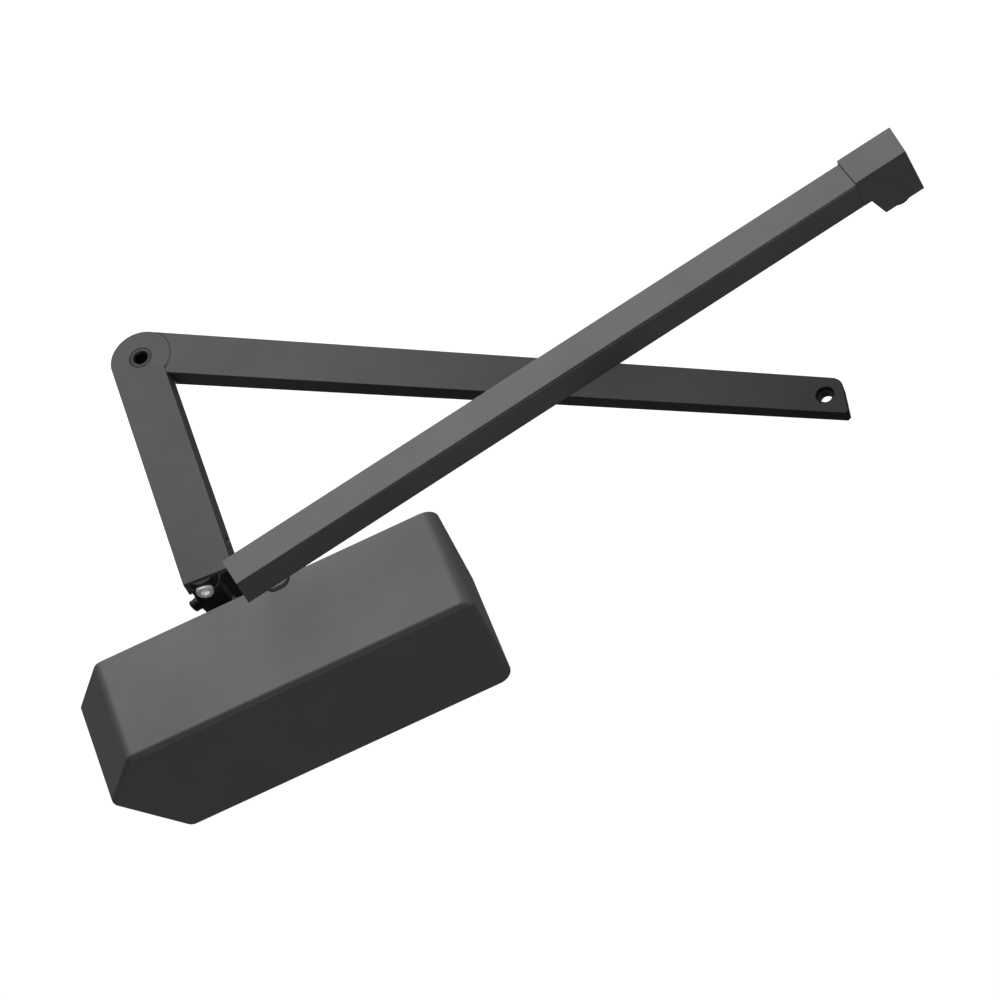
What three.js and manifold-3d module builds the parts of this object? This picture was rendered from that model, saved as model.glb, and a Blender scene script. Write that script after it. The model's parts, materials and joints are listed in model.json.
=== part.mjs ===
// Surface-mounted hydraulic door closer with a two-piece arm and a sliding stay rail.
// Millimetres, +Z up. The origin is on the back plate's rear face, which lies against the door,
// level with the cylinder bore and half way along the body. -Y points into the room.
import * as THREE from 'three';
import { mergeVertices } from 'three/addons/utils/BufferGeometryUtils.js';
import Module from 'manifold-3d';

const wasm = await Module();
wasm.setup();

// ---------------------------------------------------------------- driving dimensions
const gap = 0.3; // clearance between pieces that touch
const over = 1; // how far a cutting solid runs past what it cuts
const merge = 0.01; // how far two joined solids run into each other
const roundSides = 24; // facets on a large round face
const boreSides = 32; // facets on the cylinder
const screwSides = 12; // facets on a small round face
const threadClearance = 0.3; // between a screw's shank and its hole

// cover: a shell open towards the door, with a pointed left end
const coverLength = 300; // along the top edge
const coverDepth = 100;
const coverTop = 94; // above the bore's axis
const coverSlack = 0.5; // between the casting's underside and the cover
const coverRear = 50; // from the door to the cover's rear edge
const coverWall = 3;
const coverFrontRadius = 5;
const noseReach = 33; // the point beyond the top edge
const noseDrop = 49; // the point below the top edge
const noseToeIn = 10; // the bottom edge starts this far inside the top one
const coverEndRadius = 13; // right-hand corners
const coverNoseRadius = 9; // left-hand corners
const coverScrewX = 96;
const coverScrewY = 65;
const coverScrewRadius = 2.4;
const coverScrewDepth = 8; // in the casting
const coverScrewHead = 5;
const coverScrewHeadHeight = 2.6;

// back plate and body casting
const plateLength = 280;
const plateInset = 2.5; // the plate's long edges inside the casting's
const plateThickness = 4.2;
const plateRadius = 4;
const tabLeft = -39; // the plate's raised tab behind the spindle
const tabRight = 30;
const tabTop = 71;
const doorHoleX = 70;
const doorHoleEdge = 9; // from the plate's long edges
const doorHoleRadius = 3;
const doorCountersink = 6;
const doorCountersinkDepth = 3;
const castingLength = 244;
const castingWall = 6; // in front of the cylinder
const castingRoof = 5.5; // above and below the cylinder
const castingRadius = 8;
const castingRearRadius = 2;
const lugThickness = 10;
const lugShare = 0.3; // of the casting's height
const mountScrewRadius = 3;
const mountScrewHead = 6;
const mountScrewHeadHeight = 4;

// cylinder
const boreRadius = 22;
const plugDepth = 16;
const plugFlange = 5;
const plugRim = 2.5; // the plugs' flanges beyond the bore
const sealWidth = 3;
const sealDepth = 3.2;
const sealPlace = 5; // from a plug's inner face

// spindle and pinion
const spindleX = -43.2;
const spindleBack = 22; // spindle axis to the door
const spindleRadius = 7;
const capDepth = 5.5; // the spindle's lower end inside the bottom cap
const pinionTeeth = 12;
const pinionPitchRadius = 11.8;
const pinionFloor = 4.5; // from the lower bearing up to the pinion
const toothBacklash = 0.5;
const rackDepth = 3.8; // the rack's pitch line inside the bore
const chamberClearance = 0.725; // round the pinion's teeth
const bossWall = 2.9;
const bossTop = 50;
const bearingWall = 3.5;
const bearingHeight = 12;
const upperBearingLift = 3; // above the pinion
const shaftSealHeight = 6;
const retainerDepth = 10;
const retainerHead = 6;

// piston and closing spring
const pistonLength = 74;
const pistonLeft = -96; // left face at rest
const pistonTravelAngle = 150; // spindle degrees that the rack covers
const springWire = 2.6; // radius
const springRadius = 14.5; // to the wire's centre
const springTurns = 10;
const springSeatX = 92;
const springSeatThickness = 5;
const springSeatSlack = 1;
const adjusterRadius = 6;
const adjusterHeadRadius = 9;
const adjusterHeadHeight = 6;
const adjusterSocket = 3;
const adjusterSocketDepth = 4;
const ringGroove = 2.6; // depth of a piston ring's groove
const ringPlace = 3; // from a piston's end
const checkValveRadius = 3.5;
const checkValveLength = 11;
const checkValveSocket = 1.8;

// regulating valves in the casting's left end
const valveBack = 20;
const valveSpacing = 15;
const valveRadius = 4;
const valveLength = 26;
const valveProud = 2; // the turning end outside the casting
const valveTaper = 0.8;
const valveSlot = 1.2;
const valveGroove = 0.9; // depth of the seal's groove
const valveGrooveWidth = 1.6;
const valveGroovePlace = 10.4; // from the casting's end

// arms
const armTop = 113;
const armPlate = 3.5; // top plate of the pressed channel
const armFlange = 2.8; // outer flank
const armInnerFlange = 6; // inner flank, which leans
const armLean = 3; // the inner flank's top inside its foot
const armDepth = 16;
const armEdgeRadius = 0.8;
const mainArmLength = 226.4; // spindle axis to elbow axis
const mainArmHeading = 85.85; // degrees from +X at rest
const armHubLeft = 14.8; // spindle axis to the arm's edges
const armHubRight = 31;
const armHubOverhang = 9;
const armHeadWall = 4; // between the hollow and the elbow's head
const headSteps = 14; // facets on the round head
const lapClearance = 0.8; // round the forearm's root
const headClearance = 0.3; // round the main arm's head
const armElbowRight = 19.5; // elbow axis to the arm's inner edge
const elbowRadius = 26.5;
const lapLevel = 105.4; // the main arm lies above it at the elbow, the forearm below
const forearmLength = 594; // elbow axis to the end hole
const forearmHeading = -33.56;
const forearmElbowInner = 13;
const forearmTipHalf = 16.2;
const forearmTipShort = 10; // end hole to the outer corner
const forearmTipLong = 23; // end hole to the inner corner
const forearmElbowDepth = 18;
const forearmTipDepth = 11;
const forearmWall = 3.6;
const forearmCorner = 8; // rounding of the tip's outer corner
const forearmNib = 3; // chamfer of the tip's inner corner
const forearmPocketStart = 42.5;
const forearmPocketEnd = 22; // before the end hole
const endHoleRadius = 6.2;
const endCountersink = 7.6;
const endCountersinkDepth = 2.3;
const endBushWall = 0.8;

// arm hub on the spindle
const hubRadius = 12;
const hubBottom = 66;
const hubTongue = 40;
const hubTongueDepth = 10.5;
const hubCollarRadius = 14;
const hubCollarTop = 96.2;
const spindleBelowHub = 6; // the spindle's upper end below the hub's
const spindleHexDepth = 4; // its six-sided part below the hub
const setScrewRadius = 7;
const setScrewLevel = 98;
const setScrewHeading = 258;
const setScrewSocket = 4;
const setScrewSocketDepth = 3.6;
const setScrewFloor = 1.2; // its point off the spindle
const setScrewProud = 2.2;
const sideScrewLevel = 80;
const sideScrewHeading = 203;
const sideScrewRadius = 2.2;
const sideScrewLength = 6;
const sideScrewHead = 5.4;
const sideScrewHeadHeight = 3.4;
const sideBossReach = 17;
const crossPinX = 24;
const crossPinRadius = 2.4;
const crossPinLevel = 103.6;

// elbow pivot
const elbowBoltRadius = 6;
const elbowBore = 5; // the bolt is hollow
const elbowMouth = 6.6;
const elbowMouthDepth = 1.6;
const elbowHeadRadius = 9.6;
const elbowHeadHeight = 3.2;
const elbowBushWall = 2;
const elbowWasherRadius = 11;
const elbowWasherThickness = 1.6;
const elbowNutRadius = 10.5;
const elbowNutHeight = 5.8;
const elbowBoltProud = 0.8; // below its nut

// stay rail, its bracket and its end block
const railHeading = 9.91;
const railPivotX = 12;
const railPivotBack = 57.6;
const railWidth = 28;
const railHeight = 29.5;
const railTop = 146;
const railWall = 2.6;
const railRoof = 3;
const railLip = 3;
const railSlot = 13.4;
const railEdge = 1.2;
const railTopEdge = 1.6;
const railBehindPivot = 28.4;
const railReach = 557.7; // pivot to the end block
const railTravel = 200;
const shoeLength = 36;
const shoeHeight = 19;
const shoeCorner = 3;
const shoeNeckSlack = 0.5;
const shoePinRadius = 4;
const shoePinHead = 7;
const shoePinHeadHeight = 3.4;
const shoePinCover = 3; // the shoe's thickness above its pin
const bracketWidth = 24;
const bracketThickness = 5;
const bracketTop = 110;
const bracketFootFront = 46;
const bracketFootRear = 12;
const bracketLegFront = 36;
const bracketReach = 12; // past the rail's pivot
const bracketScrewSpacing = 16;
const bracketScrewRadius = 3;
const bracketScrewDepth = 14;
const bracketScrewHead = 5.6;
const bracketScrewHeadHeight = 3.6;
const endPlugInset = 0.4;
const endPlugLength = 4.6;
const bufferLength = 14;
const clampLength = 20;
const clampScrewRadius = 2.5;
const clampScrewLength = 13;
const clampScrewHead = 4.6;
const clampScrewHeadHeight = 2.8;
const fillingInset = 0.6; // above the rail's underside
const blockLength = 49.3; // along its top
const blockCheek = 1.8; // the block beyond the rail's far side
const blockRoof = 2.5; // the block above the rail's top
const blockTongue = 16; // inside the rail
const blockBottom = 93;
const blockStep = 8; // block's end to the start of the sloped shoulder
const blockFoot = 16.5; // block's end to the foot
const blockLean = 5.7; // its far end's foot beyond its top
const blockSkew = 6; // degrees of its far end, seen from above
const blockScrewRadius = 1.9;
const blockScrewHead = 3.6;
const blockScrewHeadHeight = 1.9;
const blockScrewEdge = 9; // from the rail's edges
const swivelPlace = 33.65; // block's near end to the swivel's axis
const swivelRadius = 12.5;
const swivelThickness = 4;
const swivelStud = 4;
const swivelStudHeight = 17;
const swivelNeck = 1.2; // depth of the stud's groove
const swivelNeckHalf = 3;
const grubRadius = 2.5;
const grubHeight = 10; // above the block's foot
const grubInset = 0.6;
const grubSocket = 1.3;
const grubSocketDepth = 2.4;

// ---------------------------------------------------------------- sizes that follow
const boreBack = spindleBack + pinionPitchRadius + boreRadius - rackDepth; // bore axis to the door
const castingHeight = 2 * (boreRadius + castingRoof);
const coverBottom = -castingHeight / 2 - coverSlack - coverWall;
const plateHeight = castingHeight - 2 * plateInset;
const doorHoleZ = plateHeight / 2 - doorHoleEdge;
const lugHeight = lugShare * castingHeight;
const spindleBottom = capDepth - castingHeight / 2;
const lowerBearingHeight = boreRadius / 4;
const pinionHeight = -2 * (spindleBottom + lowerBearingHeight + pinionFloor);
const bearingRadius = spindleRadius + gap + bearingWall;
const bearingBore = bearingRadius + gap;
const bossRadius = bearingBore + bossWall;

// ---------------------------------------------------------------- finishes
const finish = (color, roughness, metalness) =>
  new THREE.MeshStandardMaterial({ color, roughness, metalness });
const blackPaint = () => finish(0x3a3a3c, 0.55, 0.1);
const castPaint = () => finish(0x2b2c2e, 0.7, 0.2);
const darkSteel = () => finish(0x2e2e30, 0.35, 0.8);
const zinc = () => finish(0xc9cacb, 0.3, 0.9);
const springSteel = () => finish(0x5c5f63, 0.35, 0.85);
const brightSteel = () => finish(0x9a9c9f, 0.3, 0.9);
const bronze = () => finish(0x9b7443, 0.4, 0.8);
const rubber = () => finish(0x151515, 0.85, 0);
const nylon = () => finish(0x1f2022, 0.6, 0);

// ---------------------------------------------------------------- solid helpers
function toManifold(geometry) {
  const plain = geometry.index ? geometry.toNonIndexed() : geometry.clone();
  plain.deleteAttribute('normal');
  plain.deleteAttribute('uv');
  const merged = mergeVertices(plain, 1e-4);
  return new wasm.Manifold(new wasm.Mesh({
    numProp: 3,
    vertProperties: new Float32Array(merged.attributes.position.array),
    triVerts: new Uint32Array(merged.index.array),
  }));
}

function toGeometry(manifold) {
  const mesh = manifold.getMesh();
  const geometry = new THREE.BufferGeometry();
  geometry.setAttribute('position', new THREE.BufferAttribute(mesh.vertProperties, 3));
  geometry.setIndex(new THREE.BufferAttribute(mesh.triVerts, 1));
  geometry.computeVertexNormals();
  return geometry;
}

const join = (...parts) => toGeometry(parts.map(toManifold).reduce((a, b) => a.add(b)));
const cut = (base, ...tools) =>
  toGeometry(tools.map(toManifold).reduce((a, b) => a.subtract(b), toManifold(base)));

function block(x0, x1, y0, y1, z0, z1) {
  const geometry = new THREE.BoxGeometry(x1 - x0, y1 - y0, z1 - z0);
  return geometry.translate((x0 + x1) / 2, (y0 + y1) / 2, (z0 + z1) / 2);
}

// a round or many-sided bar standing on z0
function bar(radius, z0, z1, sides = roundSides, topRadius = radius) {
  const geometry = new THREE.CylinderGeometry(topRadius, radius, z1 - z0, sides);
  return geometry.rotateX(Math.PI / 2).translate(0, 0, (z0 + z1) / 2);
}

// the same bar laid along +X from x0 to x1
const barX = (radius, x0, x1, sides = roundSides) => bar(radius, x0, x1, sides).rotateY(Math.PI / 2);

const ring = (inner, outer, z0, z1, sides = roundSides) => {
  const section = [[inner, z0], [outer, z0], [outer, z1], [inner, z1], [inner, z0]];
  const points = section.map(([r, z]) => new THREE.Vector2(r, z));
  return new THREE.LatheGeometry(points, sides).rotateX(Math.PI / 2);
};

const ringX = (inner, outer, x0, x1) => ring(inner, outer, x0, x1).rotateY(Math.PI / 2);

// an outline as plain corners, with no two alike
function facets(shape, arcSteps) {
  const points = shape.getPoints(arcSteps);
  const apart = points.filter((p, i) => p.distanceTo(points[(i + 1) % points.length]) > 0.01);
  return new THREE.Shape(apart);
}

// a flat outline in XY, raised from z0 to z1
function slab(shape, z0, z1, arcSteps = 4) {
  const geometry = new THREE.ExtrudeGeometry(facets(shape, arcSteps), {
    depth: z1 - z0,
    bevelEnabled: false,
  });
  return geometry.translate(0, 0, z0);
}

// the same with a rounded upper edge
function crownedSlab(shape, z0, z1, radius, arcSteps = 4) {
  const skirt = radius + over;
  const geometry = new THREE.ExtrudeGeometry(facets(shape, arcSteps), {
    depth: z1 - z0 - radius + skirt,
    bevelThickness: radius,
    bevelSize: radius,
    bevelOffset: -radius,
    bevelSegments: 3,
  });
  geometry.translate(0, 0, z0 - skirt);
  geometry.computeBoundingBox();
  const { min, max } = geometry.boundingBox;
  return cut(geometry, block(min.x - over, max.x + over, min.y - over, max.y + over, min.z - over, z0));
}

const polygon = (points) => new THREE.Shape(points.map(([x, y]) => new THREE.Vector2(x, y)));

// a polygon with each corner rounded by its own radius
function roundedPolygon(points, radii) {
  const corner = points.map(([x, y]) => new THREE.Vector2(x, y));
  const shape = new THREE.Shape();
  corner.forEach((here, i) => {
    const before = corner[(i + corner.length - 1) % corner.length].clone().sub(here).normalize();
    const after = corner[(i + 1) % corner.length].clone().sub(here).normalize();
    const half = Math.acos(before.dot(after)) / 2;
    const reach = radii[i] / Math.tan(half);
    const start = here.clone().addScaledVector(before, reach);
    const end = here.clone().addScaledVector(after, reach);
    if (i === 0) shape.moveTo(start.x, start.y);
    else shape.lineTo(start.x, start.y);
    if (radii[i] === 0) return;
    const inwards = before.clone().add(after).normalize();
    const centre = here.clone().addScaledVector(inwards, radii[i] / Math.sin(half));
    const from = Math.atan2(start.y - centre.y, start.x - centre.x);
    const to = Math.atan2(end.y - centre.y, end.x - centre.x);
    const turn = Math.atan2(Math.sin(to - from), Math.cos(to - from));
    shape.absarc(centre.x, centre.y, radii[i], from, to, turn < 0);
  });
  shape.closePath();
  return shape;
}

// a convex polygon, counter-clockwise, with every edge moved inwards
function insetPolygon(points, distance) {
  const corner = points.map(([x, y]) => new THREE.Vector2(x, y));
  const count = corner.length;
  const edges = corner.map((a, i) => {
    const along = corner[(i + 1) % count].clone().sub(a).normalize();
    const inwards = new THREE.Vector2(-along.y, along.x);
    return { from: a.clone().addScaledVector(inwards, distance), along };
  });
  return edges.map((edge, i) => {
    const previous = edges[(i + count - 1) % count];
    const between = edge.from.clone().sub(previous.from);
    const reach = between.cross(edge.along) / previous.along.cross(edge.along);
    const point = previous.from.clone().addScaledVector(previous.along, reach);
    return [point.x, point.y];
  });
}

// an XZ outline run along Y from rear to front
const alongY = (geometry) => geometry.rotateX(Math.PI / 2);

// a YZ outline run along X
const alongX = (geometry) => geometry.rotateZ(Math.PI / 2).rotateY(Math.PI / 2);

// a rectangle with rounded corners
function plateShape(x0, x1, y0, y1, radius) {
  return roundedPolygon([[x0, y0], [x1, y0], [x1, y1], [x0, y1]], [radius, radius, radius, radius]);
}

const degrees = THREE.MathUtils.degToRad;

const closer = new THREE.Group();
const mainArmGroup = new THREE.Group();
const forearmGroup = new THREE.Group();
const railGroup = new THREE.Group();

function addPiece(parent, name, geometry, material, position = [0, 0, 0], rotation = [0, 0, 0]) {
  const mesh = new THREE.Mesh(geometry, material);
  mesh.name = name;
  mesh.position.set(...position);
  mesh.rotation.set(...rotation);
  parent.add(mesh);
  return mesh;
}

// pointing a piece made along +Z: towards +Y, -Y or straight down
const pointBack = [-Math.PI / 2, 0, 0];
const pointFront = [Math.PI / 2, 0, 0];
const pointDown = [Math.PI, 0, 0];

// a pan-head screw standing on its head's underside: the shank runs to -Z, the head to +Z
function panScrew(shank, length, headRadius, headHeight) {
  const rim = headHeight * 0.5;
  const arm = headRadius * 0.5;
  const half = headRadius * 0.12;
  const head = join(
    bar(headRadius, 0, rim, screwSides),
    bar(headRadius, rim, headHeight, screwSides, headRadius * 0.72),
  );
  const cross = join(
    block(-arm, arm, -half, half, rim, headHeight + over),
    block(-half, half, -arm, arm, rim, headHeight + over),
  );
  return cut(join(head, bar(shank, -length, merge, screwSides)), cross);
}

// a headless or cap screw with a six-sided socket in its upper end
function socketBar(radius, z0, z1, socketRadius, socketDepth) {
  return cut(bar(radius, z0, z1, screwSides), bar(socketRadius, z1 - socketDepth, z1 + over, 6));
}

// ---------------------------------------------------------------- cover
const coverOutline = [
  [-coverLength / 2, coverTop],
  [-coverLength / 2 - noseReach, coverTop - noseDrop],
  [-coverLength / 2 + noseToeIn, coverBottom],
  [coverLength / 2, coverBottom],
  [coverLength / 2, coverTop],
];
const coverRadii = [coverNoseRadius, coverNoseRadius, coverNoseRadius, coverEndRadius, coverEndRadius];

function coverShell() {
  const outer = alongY(crownedSlab(
    roundedPolygon(coverOutline, coverRadii),
    coverRear,
    coverRear + coverDepth,
    coverFrontRadius,
  ));
  const innerRadii = coverRadii.map((radius) => radius - coverWall);
  const inner = alongY(crownedSlab(
    roundedPolygon(insetPolygon(coverOutline, coverWall), innerRadii),
    coverRear - over,
    coverRear + coverDepth - coverWall,
    coverFrontRadius - coverWall,
  ));
  const radius = coverScrewRadius + threadClearance;
  const screwHole = (side) =>
    bar(radius, coverBottom - over, coverBottom + coverWall + over, screwSides)
      .translate(side * coverScrewX, -coverScrewY, 0);
  return cut(outer, inner, screwHole(-1), screwHole(1));
}

addPiece(closer, 'cover', coverShell(), blackPaint());

// ---------------------------------------------------------------- back plate and casting
const castingRear = -plateThickness - gap;
const castingFront = -boreBack - boreRadius - castingWall;
const castingEnd = castingLength / 2;
const lugEnd = plateLength / 2;
const mountScrewX = (castingEnd + lugEnd) / 2;
const mountScrewZ = castingHeight / 2 - lugHeight / 2;
const quarters = [[-1, -1], [1, -1], [-1, 1], [1, 1]];

function backPlate() {
  const outline = roundedPolygon([
    [-plateLength / 2, -plateHeight / 2],
    [plateLength / 2, -plateHeight / 2],
    [plateLength / 2, plateHeight / 2],
    [tabRight, plateHeight / 2],
    [tabRight, tabTop],
    [tabLeft, tabTop],
    [tabLeft, plateHeight / 2],
    [-plateLength / 2, plateHeight / 2],
  ], [plateRadius, plateRadius, plateRadius, 0, plateRadius, plateRadius, 0, plateRadius]);
  const sheet = alongY(slab(outline, 0, plateThickness));
  const holes = quarters.flatMap(([sx, sz]) => {
    const sinkStart = plateThickness - doorCountersinkDepth;
    const doorHole = join(
      bar(doorHoleRadius, -over, plateThickness + over, screwSides),
      bar(doorHoleRadius, sinkStart, plateThickness + merge, screwSides, doorCountersink),
    );
    const screwHole = bar(mountScrewRadius + threadClearance, -over, plateThickness + over, screwSides);
    return [
      alongY(doorHole).translate(sx * doorHoleX, 0, sz * doorHoleZ),
      alongY(screwHole).translate(sx * mountScrewX, 0, sz * mountScrewZ),
    ];
  });
  return cut(sheet, ...holes);
}

addPiece(closer, 'back_plate', backPlate(), castPaint());

const toothModule = (2 * pinionPitchRadius) / pinionTeeth;
const toothPitch = Math.PI * toothModule;
const toothHead = 0.75 * toothModule; // height above the pitch circle
const toothRoot = toothModule; // depth below it
const chamberRadius = pinionPitchRadius + toothHead + chamberClearance;
const chamberTop = pinionHeight / 2 + upperBearingLift / 2;
const bracketScrewX = [railPivotX - bracketScrewSpacing / 2, railPivotX + bracketScrewSpacing / 2];
const bracketScrewY = -(bracketLegFront - bracketThickness + bracketFootRear) / 2;

function bodyCasting() {
  const half = castingHeight / 2;
  const section = roundedPolygon([
    [castingFront, -half],
    [castingRear, -half],
    [castingRear, half],
    [castingFront, half],
  ], [castingRadius, castingRearRadius, castingRearRadius, castingRadius]);
  const barrel = alongX(slab(section, -castingEnd, castingEnd));
  const boss = bar(bossRadius, half - over, bossTop).translate(spindleX, -spindleBack, 0);
  const lugs = quarters.map(([sx, sz]) => {
    const x = [sx * (castingEnd - over), sx * lugEnd].sort((a, b) => a - b);
    const z = [sz * (half - lugHeight), sz * half].sort((a, b) => a - b);
    return block(x[0], x[1], castingRear - lugThickness, castingRear, z[0], z[1]);
  });
  const bore = barX(boreRadius, -castingEnd - over, castingEnd + over, boreSides)
    .translate(0, -boreBack, 0);
  const chamber = bar(chamberRadius, -half - over, chamberTop).translate(spindleX, -spindleBack, 0);
  const throat = bar(bearingBore, 0, bossTop + over).translate(spindleX, -spindleBack, 0);
  const lugHoles = quarters.map(([sx, sz]) =>
    alongY(bar(mountScrewRadius + threadClearance, 0, lugThickness - castingRear + over, screwSides))
      .translate(sx * mountScrewX, 0, sz * mountScrewZ));
  const valveHoles = [-1, 0, 1].map((row) =>
    barX(valveRadius + gap, -castingEnd - over, -castingEnd + valveLength, screwSides)
      .translate(0, -valveBack, row * valveSpacing));
  const bracketHoles = bracketScrewX.map((x) =>
    bar(bracketScrewRadius + threadClearance, half - bracketScrewDepth, half + over, screwSides)
      .translate(x, bracketScrewY, 0));
  const coverHoles = [-1, 1].map((side) =>
    bar(coverScrewRadius + threadClearance, -half - over, -half + coverScrewDepth, screwSides)
      .translate(side * coverScrewX, -coverScrewY, 0));
  return cut(
    join(barrel, boss, ...lugs),
    bore, chamber, throat, ...lugHoles, ...valveHoles, ...bracketHoles, ...coverHoles,
  );
}

addPiece(closer, 'body_casting', bodyCasting(), castPaint());

quarters.forEach(([sx, sz], i) => {
  const headSeat = castingRear - lugThickness - gap;
  const length = -headSeat - 2 * gap;
  const screw = panScrew(mountScrewRadius, length, mountScrewHead, mountScrewHeadHeight);
  addPiece(closer, `mounting_screw_${i + 1}`, screw, zinc(),
    [sx * mountScrewX, headSeat, sz * mountScrewZ], pointFront);
});

[-1, 1].forEach((side, i) => {
  const length = coverWall + coverScrewDepth - gap;
  const screw = panScrew(coverScrewRadius, length, coverScrewHead, coverScrewHeadHeight);
  addPiece(closer, `cover_screw_${i + 1}`, screw, darkSteel(),
    [side * coverScrewX, -coverScrewY, coverBottom - gap], pointDown);
});

// ---------------------------------------------------------------- cylinder plugs and seals
// a plug is made for the right-hand end, along +X from its inner face, and turned for the left
const plugRadius = boreRadius - gap;
const sealInner = boreRadius - sealDepth;

function cylinderPlug(centreHole) {
  const body = barX(plugRadius, 0, plugDepth + gap + over, boreSides);
  const flange = barX(boreRadius + plugRim, plugDepth + gap, plugDepth + plugFlange, 6);
  const groove = ringX(sealInner - gap, boreRadius + over, sealPlace, sealPlace + sealWidth + 2 * gap);
  const plug = cut(join(body, flange), groove);
  if (centreHole === 0) return plug;
  return cut(plug, barX(centreHole, -over, plugDepth + plugFlange + over, screwSides));
}

const plugSeal = () => ringX(sealInner, plugRadius, sealPlace + gap, sealPlace + gap + sealWidth);
const rightPlugX = castingEnd - plugDepth;
addPiece(closer, 'left_end_plug', cylinderPlug(0), darkSteel(), [-rightPlugX, -boreBack, 0], [0, 0, Math.PI]);
addPiece(closer, 'left_plug_seal', plugSeal(), rubber(), [-rightPlugX, -boreBack, 0], [0, 0, Math.PI]);
addPiece(closer, 'right_end_plug', cylinderPlug(adjusterRadius + threadClearance), darkSteel(),
  [rightPlugX, -boreBack, 0]);
addPiece(closer, 'right_plug_seal', plugSeal(), rubber(), [rightPlugX, -boreBack, 0]);

// closing-force adjuster, its seat plate and the closing spring
const adjusterHead = castingEnd + plugFlange + gap;
const adjuster = cut(
  join(
    barX(adjusterRadius, springSeatX + springSeatThickness + gap, adjusterHead + over, screwSides),
    barX(adjusterHeadRadius, adjusterHead, adjusterHead + adjusterHeadHeight, 6),
  ),
  barX(adjusterSocket, adjusterHead + adjusterHeadHeight - adjusterSocketDepth,
    adjusterHead + adjusterHeadHeight + over, 6),
);
addPiece(closer, 'closing_force_adjuster', adjuster, zinc(), [0, -boreBack, 0]);
const springSeatEnd = springSeatX + springSeatThickness;
const springSeat = barX(boreRadius - springSeatSlack, springSeatX, springSeatEnd, boreSides);
addPiece(closer, 'spring_seat', springSeat, brightSteel(), [0, -boreBack, 0]);

const pistonRight = pistonLeft + pistonLength;

class SpringPath extends THREE.Curve {
  constructor(start, end) {
    super();
    this.start = start;
    this.end = end;
  }

  getPoint(t, target = new THREE.Vector3()) {
    const angle = t * springTurns * 2 * Math.PI;
    const x = THREE.MathUtils.lerp(this.start, this.end, t);
    return target.set(x, springRadius * Math.cos(angle), springRadius * Math.sin(angle));
  }
}

function closingSpring() {
  const wire = new THREE.Shape();
  wire.absarc(0, 0, springWire, 0, 2 * Math.PI);
  const reach = springWire + 2 * gap;
  return new THREE.ExtrudeGeometry(wire, {
    steps: springTurns * 12,
    curveSegments: 3,
    bevelEnabled: false,
    extrudePath: new SpringPath(pistonRight + reach, springSeatX - reach),
  });
}

addPiece(closer, 'closing_spring', closingSpring(), springSteel(), [0, -boreBack, 0]);

// ---------------------------------------------------------------- pinion and spindle
const pressureAngle = degrees(20);
const flankSlope = Math.tan(pressureAngle);

// involute teeth, with one tooth pointing along -Y
function pinionOutline() {
  const base = pinionPitchRadius * Math.cos(pressureAngle);
  const rolled = (r) => Math.sqrt(Math.max((r / base) ** 2 - 1, 0));
  const involute = (r) => rolled(r) - Math.atan(rolled(r));
  const halfAtPitch = (toothPitch - toothBacklash) / 4 / pinionPitchRadius;
  const tip = pinionPitchRadius + toothHead;
  const root = pinionPitchRadius - toothRoot;
  const radii = [root, base, (base + tip) / 2, tip];
  const halfAngle = (r) => halfAtPitch + involute(pinionPitchRadius) - involute(r);
  const points = [];
  for (let tooth = 0; tooth < pinionTeeth; tooth += 1) {
    const middle = -Math.PI / 2 + (tooth * 2 * Math.PI) / pinionTeeth;
    const at = (r, turn) => points.push([r * Math.cos(turn), r * Math.sin(turn)]);
    radii.forEach((r) => at(r, middle - halfAngle(r)));
    [...radii].reverse().forEach((r) => at(r, middle + halfAngle(r)));
  }
  return polygon(points);
}

const hubTop = armTop - armPlate - gap;
const spindleTop = hubTop - spindleBelowHub;
const spindleHexBottom = hubBottom - spindleHexDepth;
const spindle = join(
  bar(spindleRadius, spindleBottom, spindleHexBottom),
  bar(spindleRadius, spindleHexBottom - over, spindleTop, 6),
  slab(pinionOutline(), -pinionHeight / 2, pinionHeight / 2),
);
addPiece(closer, 'spindle_pinion', spindle, brightSteel(), [spindleX, -spindleBack, 0]);

const spindlePlace = [spindleX, -spindleBack, 0];
const runningFit = spindleRadius + gap;
const upperBearingBottom = pinionHeight / 2 + upperBearingLift;
const upperBearingTop = upperBearingBottom + bearingHeight;
const sealTop = upperBearingTop + shaftSealHeight;
addPiece(closer, 'upper_bearing', ring(runningFit, bearingRadius, upperBearingBottom, upperBearingTop),
  bronze(), spindlePlace);
addPiece(closer, 'shaft_seal', ring(runningFit, bearingRadius, upperBearingTop + gap, sealTop),
  rubber(), spindlePlace);
const retainer = cut(
  join(
    bar(bearingRadius, bossTop - retainerDepth, bossTop + over),
    bar(bossRadius, bossTop + gap, bossTop + retainerHead, 8),
  ),
  bar(runningFit, bossTop - retainerDepth - over, bossTop + retainerHead + over),
);
addPiece(closer, 'bearing_retainer', retainer, darkSteel(), spindlePlace);

const capTop = spindleBottom + lowerBearingHeight;
const capRadius = chamberRadius - gap;
const bottomCap = cut(
  bar(capRadius, -castingHeight / 2, capTop),
  bar(bearingBore, spindleBottom - over, capTop + over),
);
addPiece(closer, 'bottom_cap', bottomCap, darkSteel(), spindlePlace);
addPiece(closer, 'lower_bearing', ring(runningFit, bearingRadius, spindleBottom, capTop - gap),
  bronze(), spindlePlace);

// ---------------------------------------------------------------- piston
const pitchLine = boreRadius - rackDepth; // from the bore's axis, towards the door
const pistonRadius = boreRadius - gap;

const ringPlaces = [pistonLeft + ringPlace, pistonRight - ringPlace - sealWidth];

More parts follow.
